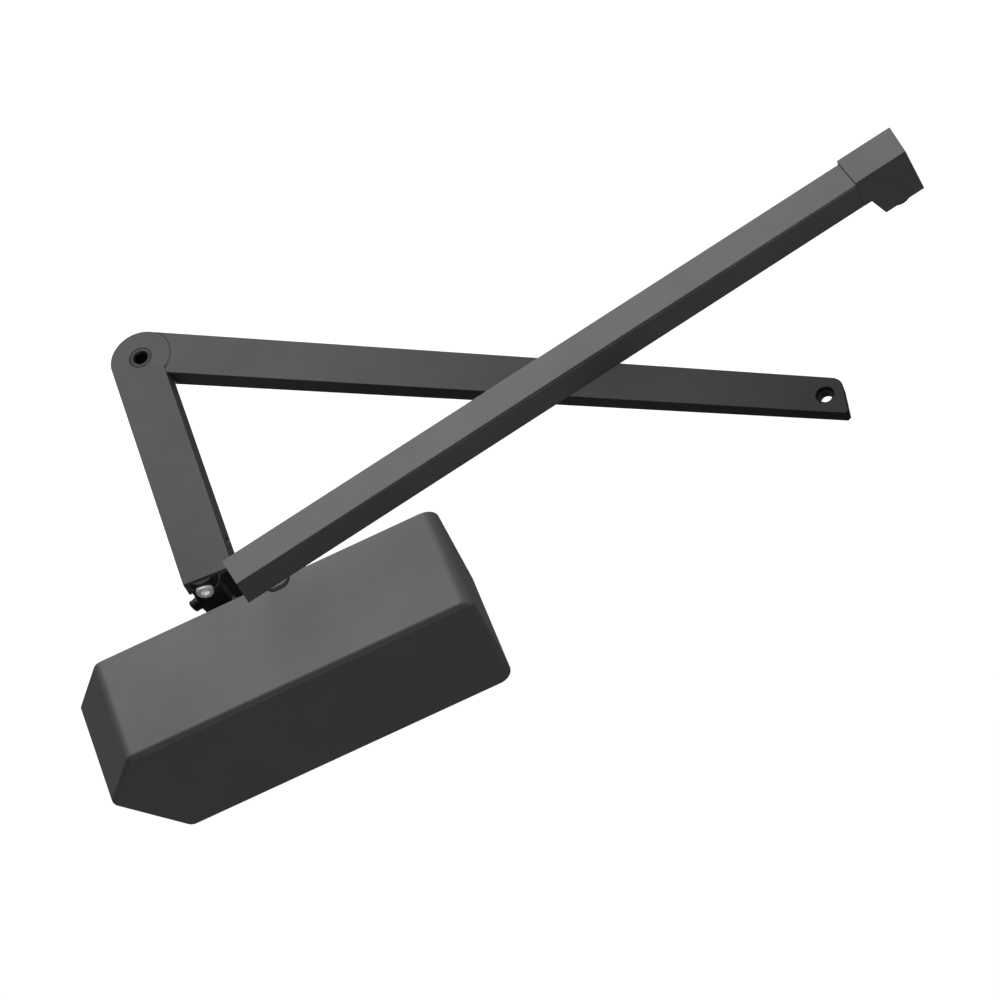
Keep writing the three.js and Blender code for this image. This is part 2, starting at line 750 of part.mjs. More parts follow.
function piston() {
  const body = barX(pistonRadius, pistonLeft, pistonRight, boreSides);
  const reach = pinionPitchRadius + toothHead + over;
  const chord = Math.sqrt(reach ** 2 - (pinionPitchRadius - rackDepth) ** 2);
  const travel = degrees(pistonTravelAngle) * pinionPitchRadius;
  const left = spindleX - travel - chord;
  const flatTop = pitchLine + toothHead;
  const flat = block(left, spindleX + chord, flatTop, boreRadius + over, -boreRadius, boreRadius);
  const half = (toothPitch + toothBacklash) / 4;
  const rootLevel = pitchLine - toothRoot - gap;
  const widening = (flatTop + over - pitchLine) * flankSlope;
  const narrowing = (pitchLine - rootLevel) * flankSlope;
  const notch = polygon([
    [-half - widening, flatTop + over],
    [-half + narrowing, rootLevel],
    [half - narrowing, rootLevel],
    [half + widening, flatTop + over],
  ]);
  const notches = [];
  const firstNotch = Math.ceil(-(travel + chord) / toothPitch);
  const lastNotch = Math.floor(chord / toothPitch);
  for (let i = firstNotch; i <= lastNotch; i += 1) {
    notches.push(slab(notch, -boreRadius, boreRadius).translate(spindleX + i * toothPitch, 0, 0));
  }
  const grooves = ringPlaces.map((x) =>
    ringX(pistonRadius - ringGroove, boreRadius + over, x - gap, x + sealWidth + gap));
  const valveHole = barX(checkValveRadius + gap, pistonLeft - over, pistonLeft + checkValveLength + over,
    screwSides);
  return cut(body, flat, ...notches, ...grooves, valveHole);
}

addPiece(closer, 'piston', piston(), brightSteel(), [0, -boreBack, 0]);
['piston_ring_left', 'piston_ring_right'].forEach((name, i) => {
  const x = ringPlaces[i];
  const pistonRing = ringX(pistonRadius - ringGroove + gap, pistonRadius, x, x + sealWidth);
  addPiece(closer, name, pistonRing, bronze(), [0, -boreBack, 0]);
});
const checkValve = socketBar(checkValveRadius, -checkValveLength, 0, checkValveSocket, checkValveLength / 3)
  .rotateY(-Math.PI / 2);
addPiece(closer, 'piston_check_valve', checkValve, zinc(), [pistonLeft, -boreBack, 0]);

// ---------------------------------------------------------------- regulating valves
['backcheck_valve', 'sweep_valve', 'latch_valve'].forEach((name, i) => {
  const wide = valveRadius + over;
  const groove = -valveGroovePlace;
  const body = cut(
    join(
      bar(valveRadius, valveProud + over - valveLength, 0, screwSides),
      bar(valveRadius, -merge, valveProud, screwSides, valveRadius - valveTaper),
    ),
    block(-wide, wide, -valveSlot / 2, valveSlot / 2, valveSlot / 2, valveProud + over),
    ring(valveRadius - valveGroove, wide, groove - valveGrooveWidth, groove, screwSides),
  );
  addPiece(closer, name, body, bronze(),
    [-castingEnd, -valveBack, (1 - i) * valveSpacing], [0, -Math.PI / 2, 0]);
});

// ---------------------------------------------------------------- main arm, along local +X from the spindle
// its outline is a wedge that ends in a round head about the elbow's axis
mainArmGroup.position.set(spindleX, -spindleBack, 0);
mainArmGroup.rotation.z = degrees(mainArmHeading);
closer.add(mainArmGroup);

function mainArmOutline() {
  const meet = Math.asin(armElbowRight / elbowRadius);
  const shape = new THREE.Shape();
  shape.moveTo(-armHubOverhang, -armHubRight);
  shape.lineTo(mainArmLength - elbowRadius * Math.cos(meet), -armElbowRight);
  shape.absarc(mainArmLength, 0, elbowRadius, meet - Math.PI, Math.PI / 2, false);
  shape.lineTo(-armHubOverhang, armHubLeft);
  shape.closePath();
  return shape;
}

const armBottom = armTop - armDepth;
const tongueTop = lapLevel - gap;

// how far a flank stands from the arm's axis, x along it
function flank(atHub, atElbow, x) {
  return atHub + ((atElbow - atHub) * (x + armHubOverhang)) / (mainArmLength + armHubOverhang);
}

// the straight part of the channel, between the open end and the elbow's head
function armChannel(inner, outer, end) {
  const start = -armHubOverhang - 2 * over;
  return polygon([
    [start, -flank(armHubRight, armElbowRight, start) + inner],
    [end, -flank(armHubRight, armElbowRight, end) + inner],
    [end, flank(armHubLeft, elbowRadius, end) - outer],
    [start, flank(armHubLeft, elbowRadius, start) - outer],
  ]);
}

// what the lean takes off the inner flank: a wedge from the flank's foot to its top
function armLeanCutter() {
  const end = mainArmLength - elbowRadius * Math.cos(Math.asin(armElbowRight / elbowRadius));
  const start = -armHubOverhang - over;
  const run = Math.hypot(end - start, flank(armHubRight, armElbowRight, start) - armElbowRight);
  const turn = Math.atan2(flank(armHubRight, armElbowRight, start) - armElbowRight, end - start);
  const section = polygon([
    [0, armBottom],
    [armLean * (1 + over / armDepth), armTop + over],
    [-over, armTop + over],
    [-over, armBottom],
  ]);
  return alongX(slab(section, 0, run)).rotateZ(turn)
    .translate(start, -flank(armHubRight, armElbowRight, start), 0);
}

const pinHole = () => bar(crossPinRadius + gap, -2 * armHubRight, 2 * armHubRight, screwSides)
  .rotateX(Math.PI / 2).translate(crossPinX, 0, crossPinLevel);

function mainArm() {
  const body = crownedSlab(mainArmOutline(), armBottom, armTop, armEdgeRadius, headSteps);
  const hollowEnd = mainArmLength - elbowRadius - armHeadWall;
  const hollow = slab(armChannel(armInnerFlange, armFlange, hollowEnd), armBottom - over, armTop - armPlate);
  const lap = bar(elbowRadius + lapClearance, armBottom - over, lapLevel, 2 * roundSides)
    .translate(mainArmLength, 0, 0);
  const boltHole = bar(elbowBoltRadius + gap, armBottom, armTop + over).translate(mainArmLength, 0, 0);
  const headSeat = bar(elbowHeadRadius + gap, armTop - elbowHeadHeight - 2 * gap, armTop + over)
    .translate(mainArmLength, 0, 0);
  return cut(body, hollow, lap, boltHole, headSeat, pinHole(), armLeanCutter());
}

addPiece(mainArmGroup, 'main_arm', mainArm(), blackPaint());

// the hub grips the spindle and carries a tongue that fills the channel's root
function armHub() {
  const barrel = bar(hubRadius, hubBottom, hubTop);
  const collar = bar(hubCollarRadius, hubBottom, hubCollarTop);
  const channel = armChannel(armInnerFlange + gap, armFlange + gap, hubTongue);
  const tongue = slab(channel, hubTop - hubTongueDepth, hubTop);
  const front = block(-2 * armHubOverhang, 0, -2 * armHubRight, 2 * armHubRight, 0, hubTop + over);
  const side = degrees(sideScrewHeading - mainArmHeading);
  const sideBoss = barX(sideScrewHead, 0, sideBossReach, screwSides).rotateZ(side)
    .translate(0, 0, sideScrewLevel);
  const hexBore = bar(spindleRadius + gap, hubBottom - over, spindleTop + over, 6)
    .rotateZ(degrees(-mainArmHeading));
  const setHole = barX(setScrewRadius + threadClearance, spindleRadius, 2 * hubRadius, screwSides)
    .rotateZ(degrees(setScrewHeading - mainArmHeading)).translate(0, 0, setScrewLevel);
  const sideHole = barX(sideScrewRadius + threadClearance, spindleRadius, sideBossReach + over, screwSides)
    .rotateZ(side).translate(0, 0, sideScrewLevel);
  return cut(join(barrel, collar, cut(tongue, front), sideBoss), hexBore, setHole, sideHole, pinHole());
}

addPiece(mainArmGroup, 'arm_hub', armHub(), darkSteel());

const setScrewTip = spindleRadius + setScrewFloor;
const setScrew = socketBar(setScrewRadius, setScrewTip, hubRadius + setScrewProud, setScrewSocket,
  setScrewSocketDepth).rotateY(Math.PI / 2);
addPiece(mainArmGroup, 'hub_set_screw', setScrew, zinc(), [0, 0, setScrewLevel],
  [0, 0, degrees(setScrewHeading - mainArmHeading)]);

const sideScrew = panScrew(sideScrewRadius, sideScrewLength, sideScrewHead, sideScrewHeadHeight)
  .translate(0, 0, sideBossReach + gap).rotateY(Math.PI / 2);
addPiece(mainArmGroup, 'hub_side_screw', sideScrew, darkSteel(), [0, 0, sideScrewLevel],
  [0, 0, degrees(sideScrewHeading - mainArmHeading)]);

const crossPinEnds = [
  -flank(armHubRight, armElbowRight, crossPinX) + armLean,
  flank(armHubLeft, elbowRadius, crossPinX) - gap,
];
const crossPin = bar(crossPinRadius, ...crossPinEnds, screwSides).rotateX(-Math.PI / 2);
addPiece(mainArmGroup, 'hub_cross_pin', crossPin, darkSteel(), [crossPinX, 0, crossPinLevel]);

// ---------------------------------------------------------------- forearm, along local +X from the elbow
forearmGroup.position.set(mainArmLength, 0, 0);
forearmGroup.rotation.z = degrees(forearmHeading - mainArmHeading);
mainArmGroup.add(forearmGroup);

const forearmTurn = degrees(forearmHeading - mainArmHeading);
const tongueBottom = armTop - forearmElbowDepth;
const tipBottom = armTop - forearmTipDepth;

function forearmOutline() {
  const corner = forearmCorner;
  const nib = forearmNib;
  const tipX = forearmLength + forearmTipLong;
  const lean = Math.atan2(forearmTipLong - forearmTipShort, 2 * forearmTipHalf);
  const inner = Math.asin(forearmElbowInner / elbowRadius);
  const shape = new THREE.Shape();
  shape.absarc(0, 0, elbowRadius, Math.PI / 2, -inner, false);
  shape.lineTo(tipX - nib, -forearmTipHalf);
  shape.lineTo(tipX - nib * Math.sin(lean), -forearmTipHalf + nib * Math.cos(lean));
  shape.lineTo(
    forearmLength + forearmTipShort + corner * Math.sin(lean),
    forearmTipHalf - corner * Math.cos(lean),
  );
  shape.quadraticCurveTo(
    forearmLength + forearmTipShort, forearmTipHalf,
    forearmLength + forearmTipShort - corner, forearmTipHalf + merge,
  );
  shape.closePath();
  return shape;
}

function forearm() {
  const body = crownedSlab(forearmOutline(), tongueBottom, armTop, armEdgeRadius, headSteps);
  const wide = 2 * elbowRadius;
  const slant = Math.atan2(tipBottom - tongueBottom, forearmLength);
  const shaved = block(0, forearmLength * 1.2, -wide, wide, -forearmElbowDepth, 0)
    .rotateY(-slant).translate(0, 0, tongueBottom);
  const pocketEnd = forearmLength - forearmPocketEnd;
  const pocket = slab(polygon([
    [forearmPocketStart, -forearmElbowInner + forearmWall],
    [pocketEnd, -forearmTipHalf + forearmWall],
    [pocketEnd, forearmTipHalf - forearmWall],
    [forearmPocketStart, flankAtPocket() - forearmWall],
  ]), tongueBottom - over, armTop - forearmWall);
  const lap = bar(elbowRadius + headClearance, tongueTop, armTop + over, 2 * roundSides);
  const bushHole = bar(elbowBoltRadius + elbowBushWall + 2 * gap, tongueBottom - over, armTop);
  const flanks = armChannel(-gap, -gap, mainArmLength - elbowRadius / 3);
  const beside = slab(flanks, armBottom - over, armTop + over)
    .translate(-mainArmLength, 0, 0).rotateZ(-forearmTurn);
  const head = bar(elbowRadius + merge, armBottom - 2 * over, armTop + 2 * over, 2 * roundSides);
  const sinkStart = armTop - endCountersinkDepth;
  const tipHole = join(
    bar(endHoleRadius, tongueBottom, sinkStart + merge),
    bar(endHoleRadius, sinkStart, armTop + merge, roundSides, endCountersink),
  ).translate(forearmLength, 0, 0);
  return cut(body, shaved, pocket, lap, bushHole, cut(beside, head), tipHole);
}

// the forearm's outer flank where its pocket starts
function flankAtPocket() {
  return elbowRadius + ((forearmTipHalf - elbowRadius) * forearmPocketStart) / forearmLength;
}

addPiece(forearmGroup, 'forearm', forearm(), blackPaint());

const washerTop = tongueBottom - gap;
const washerBottom = washerTop - elbowWasherThickness;
const nutTop = washerBottom - gap;
const nutBottom = nutTop - elbowNutHeight;
const elbowHole = (z0, z1) => bar(elbowBoltRadius + gap, z0 - over, z1 + over);
const elbowBolt = cut(
  join(
    bar(elbowBoltRadius, nutBottom - elbowBoltProud, armTop - elbowHeadHeight),
    bar(elbowHeadRadius, armTop - elbowHeadHeight - gap, armTop - gap),
  ),
  bar(elbowBore, nutBottom - elbowBoltProud - over, armTop),
  bar(elbowBore, armTop - gap - elbowMouthDepth, armTop - gap + merge, roundSides, elbowMouth),
);
const elbowBush = ring(elbowBoltRadius + gap, elbowBoltRadius + elbowBushWall + gap, tongueBottom, tongueTop);
const elbowWasher = ring(elbowBoltRadius + gap, elbowWasherRadius, washerBottom, washerTop);
const elbowNut = cut(bar(elbowNutRadius, nutBottom, nutTop, 6), elbowHole(nutBottom, nutTop));
addPiece(mainArmGroup, 'elbow_bolt', elbowBolt, darkSteel(), [mainArmLength, 0, 0]);
addPiece(forearmGroup, 'elbow_bush', elbowBush, bronze());
addPiece(mainArmGroup, 'elbow_washer', elbowWasher, zinc(), [mainArmLength, 0, 0]);
addPiece(mainArmGroup, 'elbow_nut', elbowNut, zinc(), [mainArmLength, 0, 0]);
const endBush = ring(endHoleRadius - gap - endBushWall, endHoleRadius - gap, tipBottom + gap,
  armTop - endCountersinkDepth - gap);
addPiece(forearmGroup, 'forearm_end_bush', endBush, zinc(), [forearmLength, 0, 0]);

// ---------------------------------------------------------------- rail bracket on the casting
const bracketBottom = castingHeight / 2 + gap;
const railPivot = [railPivotX, -railPivotBack, 0];

function railBracket() {
  const t = bracketThickness;
  const front = -railPivotBack - bracketReach;
  const legBack = -bracketLegFront + t;
  const section = roundedPolygon([
    [-bracketFootFront, bracketBottom],
    [-bracketFootRear, bracketBottom],
    [-bracketFootRear, bracketBottom + t],
    [legBack, bracketBottom + t],
    [legBack, bracketTop],
    [front, bracketTop],
    [front, bracketTop - t],
    [-bracketLegFront, bracketTop - t],
    [-bracketLegFront, bracketBottom + t],
    [-bracketFootFront, bracketBottom + t],
  ], [1, 1, 1, 3, 6, 2, 2, 3, 3, 1]);
  const strip = alongX(slab(section, -bracketWidth / 2, bracketWidth / 2));
  const shoeHole = bar(shoePinRadius + gap, bracketTop - t - over, bracketTop + over, screwSides)
    .translate(0, -railPivotBack, 0);
  const screwHoles = bracketScrewX.map((x) =>
    bar(bracketScrewRadius + threadClearance, bracketBottom - over, bracketBottom + t + over, screwSides)
      .translate(x - railPivotX, bracketScrewY, 0));
  return cut(strip, shoeHole, ...screwHoles);
}

addPiece(closer, 'rail_bracket', railBracket(), blackPaint(), [railPivotX, 0, 0]);
bracketScrewX.forEach((x, i) => {
  const length = bracketThickness + bracketScrewDepth - over;
  const screw = panScrew(bracketScrewRadius, length, bracketScrewHead, bracketScrewHeadHeight);
  addPiece(closer, `bracket_screw_${i + 1}`, screw, zinc(),
    [x, bracketScrewY, bracketBottom + bracketThickness + gap]);
});

const railBottom = railTop - railHeight;
const shoeBottom = railBottom + railLip + gap;
const pinTop = shoeBottom + shoeHeight - shoePinCover;
const pinHeadTop = bracketTop - bracketThickness - gap;
const shoePin = join(
  bar(shoePinRadius, pinHeadTop - over, pinTop, screwSides),
  bar(shoePinHead, pinHeadTop - shoePinHeadHeight, pinHeadTop, 6),
);
addPiece(closer, 'shoe_pin', shoePin, zinc(), railPivot);

// ---------------------------------------------------------------- stay rail, along local +X from its pivot
railGroup.position.set(...railPivot);
railGroup.rotation.z = degrees(railHeading);
closer.add(railGroup);

const shoeWidth = railWidth - 2 * railWall - 2 * gap;
const shoe = cut(
  join(
    slab(plateShape(-shoeLength / 2, shoeLength / 2, -shoeWidth / 2, shoeWidth / 2, shoeCorner),
      shoeBottom, shoeBottom + shoeHeight),
    bar(railSlot / 2 - shoeNeckSlack, bracketTop + gap, shoeBottom + over),
  ),
  bar(shoePinRadius + gap, bracketTop - over, pinTop + gap, screwSides),
);
addPiece(railGroup, 'slide_shoe', shoe, nylon());

const railStart = -railBehindPivot;
const railEnd = railReach - gap;
const screwLevels = [railBottom + blockScrewEdge, railTop - blockScrewEdge];
const screwX = railReach - blockTongue / 2;

// holes across the rail's far wall and the block's tongue
const blockScrewHoles = () => screwLevels.map((z) =>
  bar(blockScrewRadius + threadClearance, 0, railWidth, screwSides).rotateX(-Math.PI / 2)
    .translate(screwX, 0, z));

const stopX = shoeLength / 2 + railTravel + over;
const clampX = stopX + bufferLength + gap + clampLength / 2;

function slideRail() {
  const half = railWidth / 2;
  const inner = half - railWall;
  const corners = [[-half, railBottom], [half, railBottom], [half, railTop], [-half, railTop]];
  const outline = roundedPolygon(corners, [railEdge, railEdge, railTopEdge, railTopEdge]);
  const body = alongX(slab(outline, railStart, railEnd));
  const near = railStart - over;
  const far = railEnd + over;
  const cavity = block(near, far, -inner, inner, railBottom + railLip, railTop - railRoof);
  const slot = block(near, far, -railSlot / 2, railSlot / 2, railBottom - over, railBottom + railLip + over);
  return cut(body, cavity, slot, ...blockScrewHoles());
}

addPiece(railGroup, 'slide_rail', slideRail(), blackPaint());

// pieces that fill the rail's hollow: the end plug, the rubber stop and its clamp
function railFilling(x0, x1) {
  const inner = railWidth / 2 - railWall - gap;
  const neck = railSlot / 2 - gap;
  const shelf = railBottom + railLip + gap;
  return join(
    block(x0, x1, -inner, inner, shelf, railTop - railRoof - gap),
    block(x0, x1, -neck, neck, railBottom + fillingInset, shelf + over),
  );
}

const plugStart = railStart + endPlugInset;
addPiece(railGroup, 'rail_end_plug', railFilling(plugStart, plugStart + endPlugLength), nylon());
addPiece(railGroup, 'stop_buffer', railFilling(stopX, stopX + bufferLength), rubber());
const clampHole = bar(clampScrewRadius + threadClearance, railBottom - over,
  railBottom + clampScrewLength + railLip, screwSides).translate(clampX, 0, 0);
const clamp = cut(railFilling(clampX - clampLength / 2, clampX + clampLength / 2), clampHole);
addPiece(railGroup, 'stop_clamp', clamp, brightSteel());
const clampScrew = panScrew(clampScrewRadius, clampScrewLength, clampScrewHead, clampScrewHeadHeight);
addPiece(railGroup, 'stop_clamp_screw', clampScrew, zinc(), [clampX, 0, railBottom + gap], pointDown);

// ---------------------------------------------------------------- end block and its swivel foot
const blockTop = railTop + blockRoof;
const swivelX = railReach + swivelPlace;
const swivelTop = blockBottom - gap;
const studTop = blockBottom + swivelStudHeight;
const grubLevel = blockBottom + grubHeight;
const blockFar = railWidth / 2 + blockCheek;

function endBlock() {
  const long = blockLength + blockLean + 2 * over + railWidth * Math.tan(degrees(blockSkew));
  const outline = roundedPolygon([
    [0, railBottom],
    [blockStep, railBottom],
    [blockFoot, blockBottom],
    [long, blockBottom],
    [long, blockTop],
    [0, blockTop],
  ].map(([x, z]) => [railReach + x, -z]).reverse(), [0, 0, 0, 1.2, 1.2, 0]);
  const body = slab(outline, -railWidth / 2, blockFar).rotateX(-Math.PI / 2);
  const wide = 2 * railWidth;
  const deep = 2 * (blockTop - blockBottom);
  const beyond = block(0, wide, -wide, wide, -deep, 2 * over)
    .rotateY(-Math.atan2(blockLean, blockTop - blockBottom))
    .rotateZ(degrees(-blockSkew))
    .translate(railReach + blockLength, 0, blockTop);
  const tongue = railFilling(railReach - blockTongue, railReach + over);
  const studHole = bar(swivelStud + gap, blockBottom - over, studTop + over, screwSides)
    .translate(swivelX, 0, 0);
  const grubHole = bar(grubRadius + threadClearance, 0, wide, screwSides).rotateX(-Math.PI / 2)
    .translate(swivelX, 0, grubLevel);
  return cut(join(body, tongue), beyond, studHole, grubHole, ...blockScrewHoles());
}

addPiece(railGroup, 'end_block', endBlock(), blackPaint());
screwLevels.forEach((z, i) => {
  const length = railWall + railWidth / 4;
  const screw = panScrew(blockScrewRadius, length, blockScrewHead, blockScrewHeadHeight);
  addPiece(railGroup, `end_block_screw_${i + 1}`, screw, darkSteel(),
    [screwX, railWidth / 2 + gap, z], pointBack);
});

const swivel = cut(
  join(
    bar(swivelRadius, swivelTop - swivelThickness, swivelTop),
    bar(swivelStud, swivelTop - over, studTop, screwSides),
  ),
  ring(swivelStud - swivelNeck, swivelStud + over, grubLevel - swivelNeckHalf, grubLevel + swivelNeckHalf,
    screwSides),
);
addPiece(railGroup, 'frame_swivel', swivel, darkSteel(), [swivelX, 0, 0]);
const grub = socketBar(grubRadius, swivelStud - swivelNeck / 2, blockFar - grubInset, grubSocket,
  grubSocketDepth).rotateX(-Math.PI / 2);
addPiece(railGroup, 'swivel_grub_screw', grub, darkSteel(), [swivelX, 0, grubLevel]);

export default closer;
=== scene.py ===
"""Door closer: the looks of its cover, body, arms, stay rail and screws, built around its fixed frame."""
import json
import math

import bmesh
import bpy
import numpy as np
from bpy.props import FloatProperty, FloatVectorProperty, IntProperty, PointerProperty
from mathutils import Matrix, Vector

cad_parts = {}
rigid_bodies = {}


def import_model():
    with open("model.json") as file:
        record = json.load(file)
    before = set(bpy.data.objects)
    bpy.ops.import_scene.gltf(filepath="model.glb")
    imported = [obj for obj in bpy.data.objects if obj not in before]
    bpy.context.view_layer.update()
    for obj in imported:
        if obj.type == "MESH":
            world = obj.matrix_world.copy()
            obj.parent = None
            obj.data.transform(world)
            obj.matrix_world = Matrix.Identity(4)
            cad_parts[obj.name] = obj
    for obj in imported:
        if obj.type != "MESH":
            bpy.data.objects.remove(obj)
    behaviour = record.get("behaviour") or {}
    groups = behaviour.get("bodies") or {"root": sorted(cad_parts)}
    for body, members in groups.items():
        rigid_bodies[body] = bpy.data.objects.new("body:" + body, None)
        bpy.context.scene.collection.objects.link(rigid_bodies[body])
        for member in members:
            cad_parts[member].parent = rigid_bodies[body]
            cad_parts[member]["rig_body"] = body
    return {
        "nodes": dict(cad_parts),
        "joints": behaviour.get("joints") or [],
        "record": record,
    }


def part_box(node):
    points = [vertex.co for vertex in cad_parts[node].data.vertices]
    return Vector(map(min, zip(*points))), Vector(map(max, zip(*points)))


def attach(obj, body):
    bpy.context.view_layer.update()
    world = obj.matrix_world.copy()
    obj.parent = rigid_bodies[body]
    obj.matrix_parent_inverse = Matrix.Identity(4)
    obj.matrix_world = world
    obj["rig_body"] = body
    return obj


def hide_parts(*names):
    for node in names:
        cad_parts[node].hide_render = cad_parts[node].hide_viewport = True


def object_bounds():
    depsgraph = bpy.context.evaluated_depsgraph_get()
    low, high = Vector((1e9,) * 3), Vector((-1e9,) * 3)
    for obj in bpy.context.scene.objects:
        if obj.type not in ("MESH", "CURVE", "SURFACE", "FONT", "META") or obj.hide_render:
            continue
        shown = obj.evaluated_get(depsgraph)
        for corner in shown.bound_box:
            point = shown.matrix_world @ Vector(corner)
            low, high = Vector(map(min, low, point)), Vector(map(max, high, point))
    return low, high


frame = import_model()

bl_info = {
    "name": "Door closer",
    "version": (1, 0, 0),
    "blender": (4, 5, 0),
    "location": "View3D > Sidebar > Door closer",
    "description": "Builds a surface door closer with its arms, stay rail and hidden works",
    "category": "Add Mesh",
}

MM = 0.001
CAD_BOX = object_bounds()
JOINTS = {joint["name"]: joint for joint in frame["joints"]}
UP = Vector((0, 0, 1))
ALONG = Vector((1, 0, 0))  # the body's length
GAP = 0.3 * MM  # between neighbouring pieces
OVER = MM  # how far a cutter runs past a face
VALVES = ("backcheck_valve", "sweep_valve", "latch_valve")

# sides of round faces
HOLE_SIDES = 32
PLATE_SIDES = 40
SCREW_SIDES = 48
BOLT_SIDES = 64
FINE_SIDES = 96


# ------------------------------------------------------------------ settings
def length(name, description, millimetres):
    """A size in metres, given here in millimetres."""
    return FloatProperty(
        name=name, description=description, default=millimetres * MM, unit="LENGTH", subtype="DISTANCE")


def colour(name, description, value):
    return FloatVectorProperty(name=name, description=description, default=value, size=3, subtype="COLOR")


def power(name, description, value):
    return FloatProperty(name=name, description=description, default=value, unit="POWER")


def share(name, description, value):
    return FloatProperty(name=name, description=description, default=value, min=0, max=1, subtype="FACTOR")


class CoverSizes(bpy.types.PropertyGroup):
    """The sheet cover with its pointed left end."""
    wall: length("Wall", "Thickness of the cover", 3)
    top_length: length("Top length", "Length of the top edge", 300)
    nose_drop: length("Nose drop", "How far the point lies below the top edge", 49)
    nose_reach: length("Nose reach", "How far the point stands past the top edge", 33)
    toe_in: length("Toe-in", "How far inside the top edge the bottom edge starts", 10)
    nose_radius: length("Nose corners", "Radius of the corners at the pointed end", 9)
    end_radius: length("End corners", "Radius of the corners at the square end", 13)
    front_radius: length("Front edge", "Radius of the rim round the front face", 5)
    rear_rounding: length("Rear edge", "Rounding of the rear edge", 0.6)
    screw_hole: length("Screw hole", "Radius of the two screw holes", 2.7)


class BodySizes(bpy.types.PropertyGroup):
    """The plate and casting behind the cover."""
    plate_corner: length("Plate corner", "Radius of the back plate's corners", 4)
    plate_height: length("Plate height", "Height of the back plate beside its tab", 50)
    tab_left: length("Tab left", "Left end of the plate's raised tab", -39)
    tab_right: length("Tab right", "Right end of the plate's raised tab", 30)
    door_hole: length("Door hole", "Radius of the holes for the door's screws", 3)
    door_sink: length("Door sink", "Radius of the countersinks", 6)
    door_hole_x: length("Door hole X", "Door holes from the middle, along the body", 70)
    door_hole_z: length("Door hole Z", "Door holes from the middle, upwards", 16)
    barrel_half: length("Barrel half", "Half the length of the casting without its lugs", 122)
    barrel_corner: length("Barrel corner", "Radius of the casting's front corners", 8)
    barrel_height: length("Barrel height", "Height of the casting", 55)
    lug_thickness: length("Lug thickness", "Thickness of the lugs", 10)
    lug_height: length("Lug height", "Height of a lug", 16.5)
    bore: length("Bore", "Radius of the cylinder", 22)
    boss: length("Boss", "Radius of the spindle's boss", 14)
    chamber: length("Chamber", "Radius of the pinion's chamber", 14)
    chamber_top: length("Chamber top", "Top of that chamber above the middle", 13.5)
    throat: length("Throat", "Radius of the bearing's seat", 11.1)
    valve_hole: length("Valve hole", "Radius of a valve's hole", 4.3)
    screw_hole: length("Screw hole", "Radius of a fixing screw's hole", 3.3)


class ArmSizes(bpy.types.PropertyGroup):
    """The two pressed arms and their elbow."""
    plate: length("Plate", "Thickness of the main arm's top", 3.5)
    flange: length("Flange", "Thickness of the main arm's outer side", 2.8)
    inner_flange: length("Inner flange", "Thickness of the main arm's inner side", 6)
    lean: length("Lean", "How far the inner side leans in", 3)
    depth: length("Depth", "Depth of the main arm", 16)
    edge: length("Edge", "Rounding along the arms", 0.8)
    overhang: length("Overhang", "How far the main arm runs past the spindle", 9)
    hub_left: length("Hub left", "Spindle's axis to the arm's outer edge", 14.8)
    hub_right: length("Hub right", "Spindle's axis to the arm's inner edge", 31)
    elbow_right: length("Elbow right", "Elbow's axis to the arm's inner edge", 19.5)
    elbow: length("Elbow", "Radius of the round elbow", 26.5)
    seam: length("Seam", "Space between the two arms where they lap", 0.1)
    lap: length("Lap", "How far below the top the two arms meet", 7.6)
    fore_inner: length("Forearm inner", "Elbow's axis to the forearm's inner edge", 13)
    fore_depth: length("Forearm depth", "Depth of the forearm at the elbow", 18)
    tip_depth: length("Tip depth", "Depth of the forearm at its tip", 11)
    tip_half: length("Tip half", "Half the forearm's width at its tip", 16.2)
    tip_short: length("Tip short", "End hole to the tip's outer corner", 10)
    tip_long: length("Tip long", "End hole to the tip's inner corner", 23)
    tip_corner: length("Tip corner", "Radius of the tip's outer corner", 8)
    nib: length("Nib", "Chamfer of the tip's inner corner", 3)
    bolt: length("Bolt", "Radius of the elbow's bolt", 6)
    bolt_bore: length("Bolt bore", "Radius of the bolt's bore", 5)
    bolt_head: length("Bolt head", "Radius of the bolt's head", 9.6)
    fore_wall: length("Forearm wall", "Thickness of the forearm's walls", 3.6)


class HubSizes(bpy.types.PropertyGroup):
    """The hub that grips the spindle."""
    radius: length("Radius", "Radius of the hub inside the arm", 12)
    collar: length("Collar", "Radius of the hub below the arm", 14)
    collar_gap: length("Collar gap", "Space between the collar and the arm", 0.8)
    tongue: length("Tongue", "Length of the tongue inside the main arm", 40)
    tongue_depth: length("Tongue depth", "Depth of the tongue", 10.5)
    side_boss: length("Side boss", "Radius of the boss under the side screw", 5.4)
    side_reach: length("Side reach", "How far that boss stands from the axis", 17)
    chamfer: length("Chamfer", "Chamfer at the hub's lower end", 1.2)


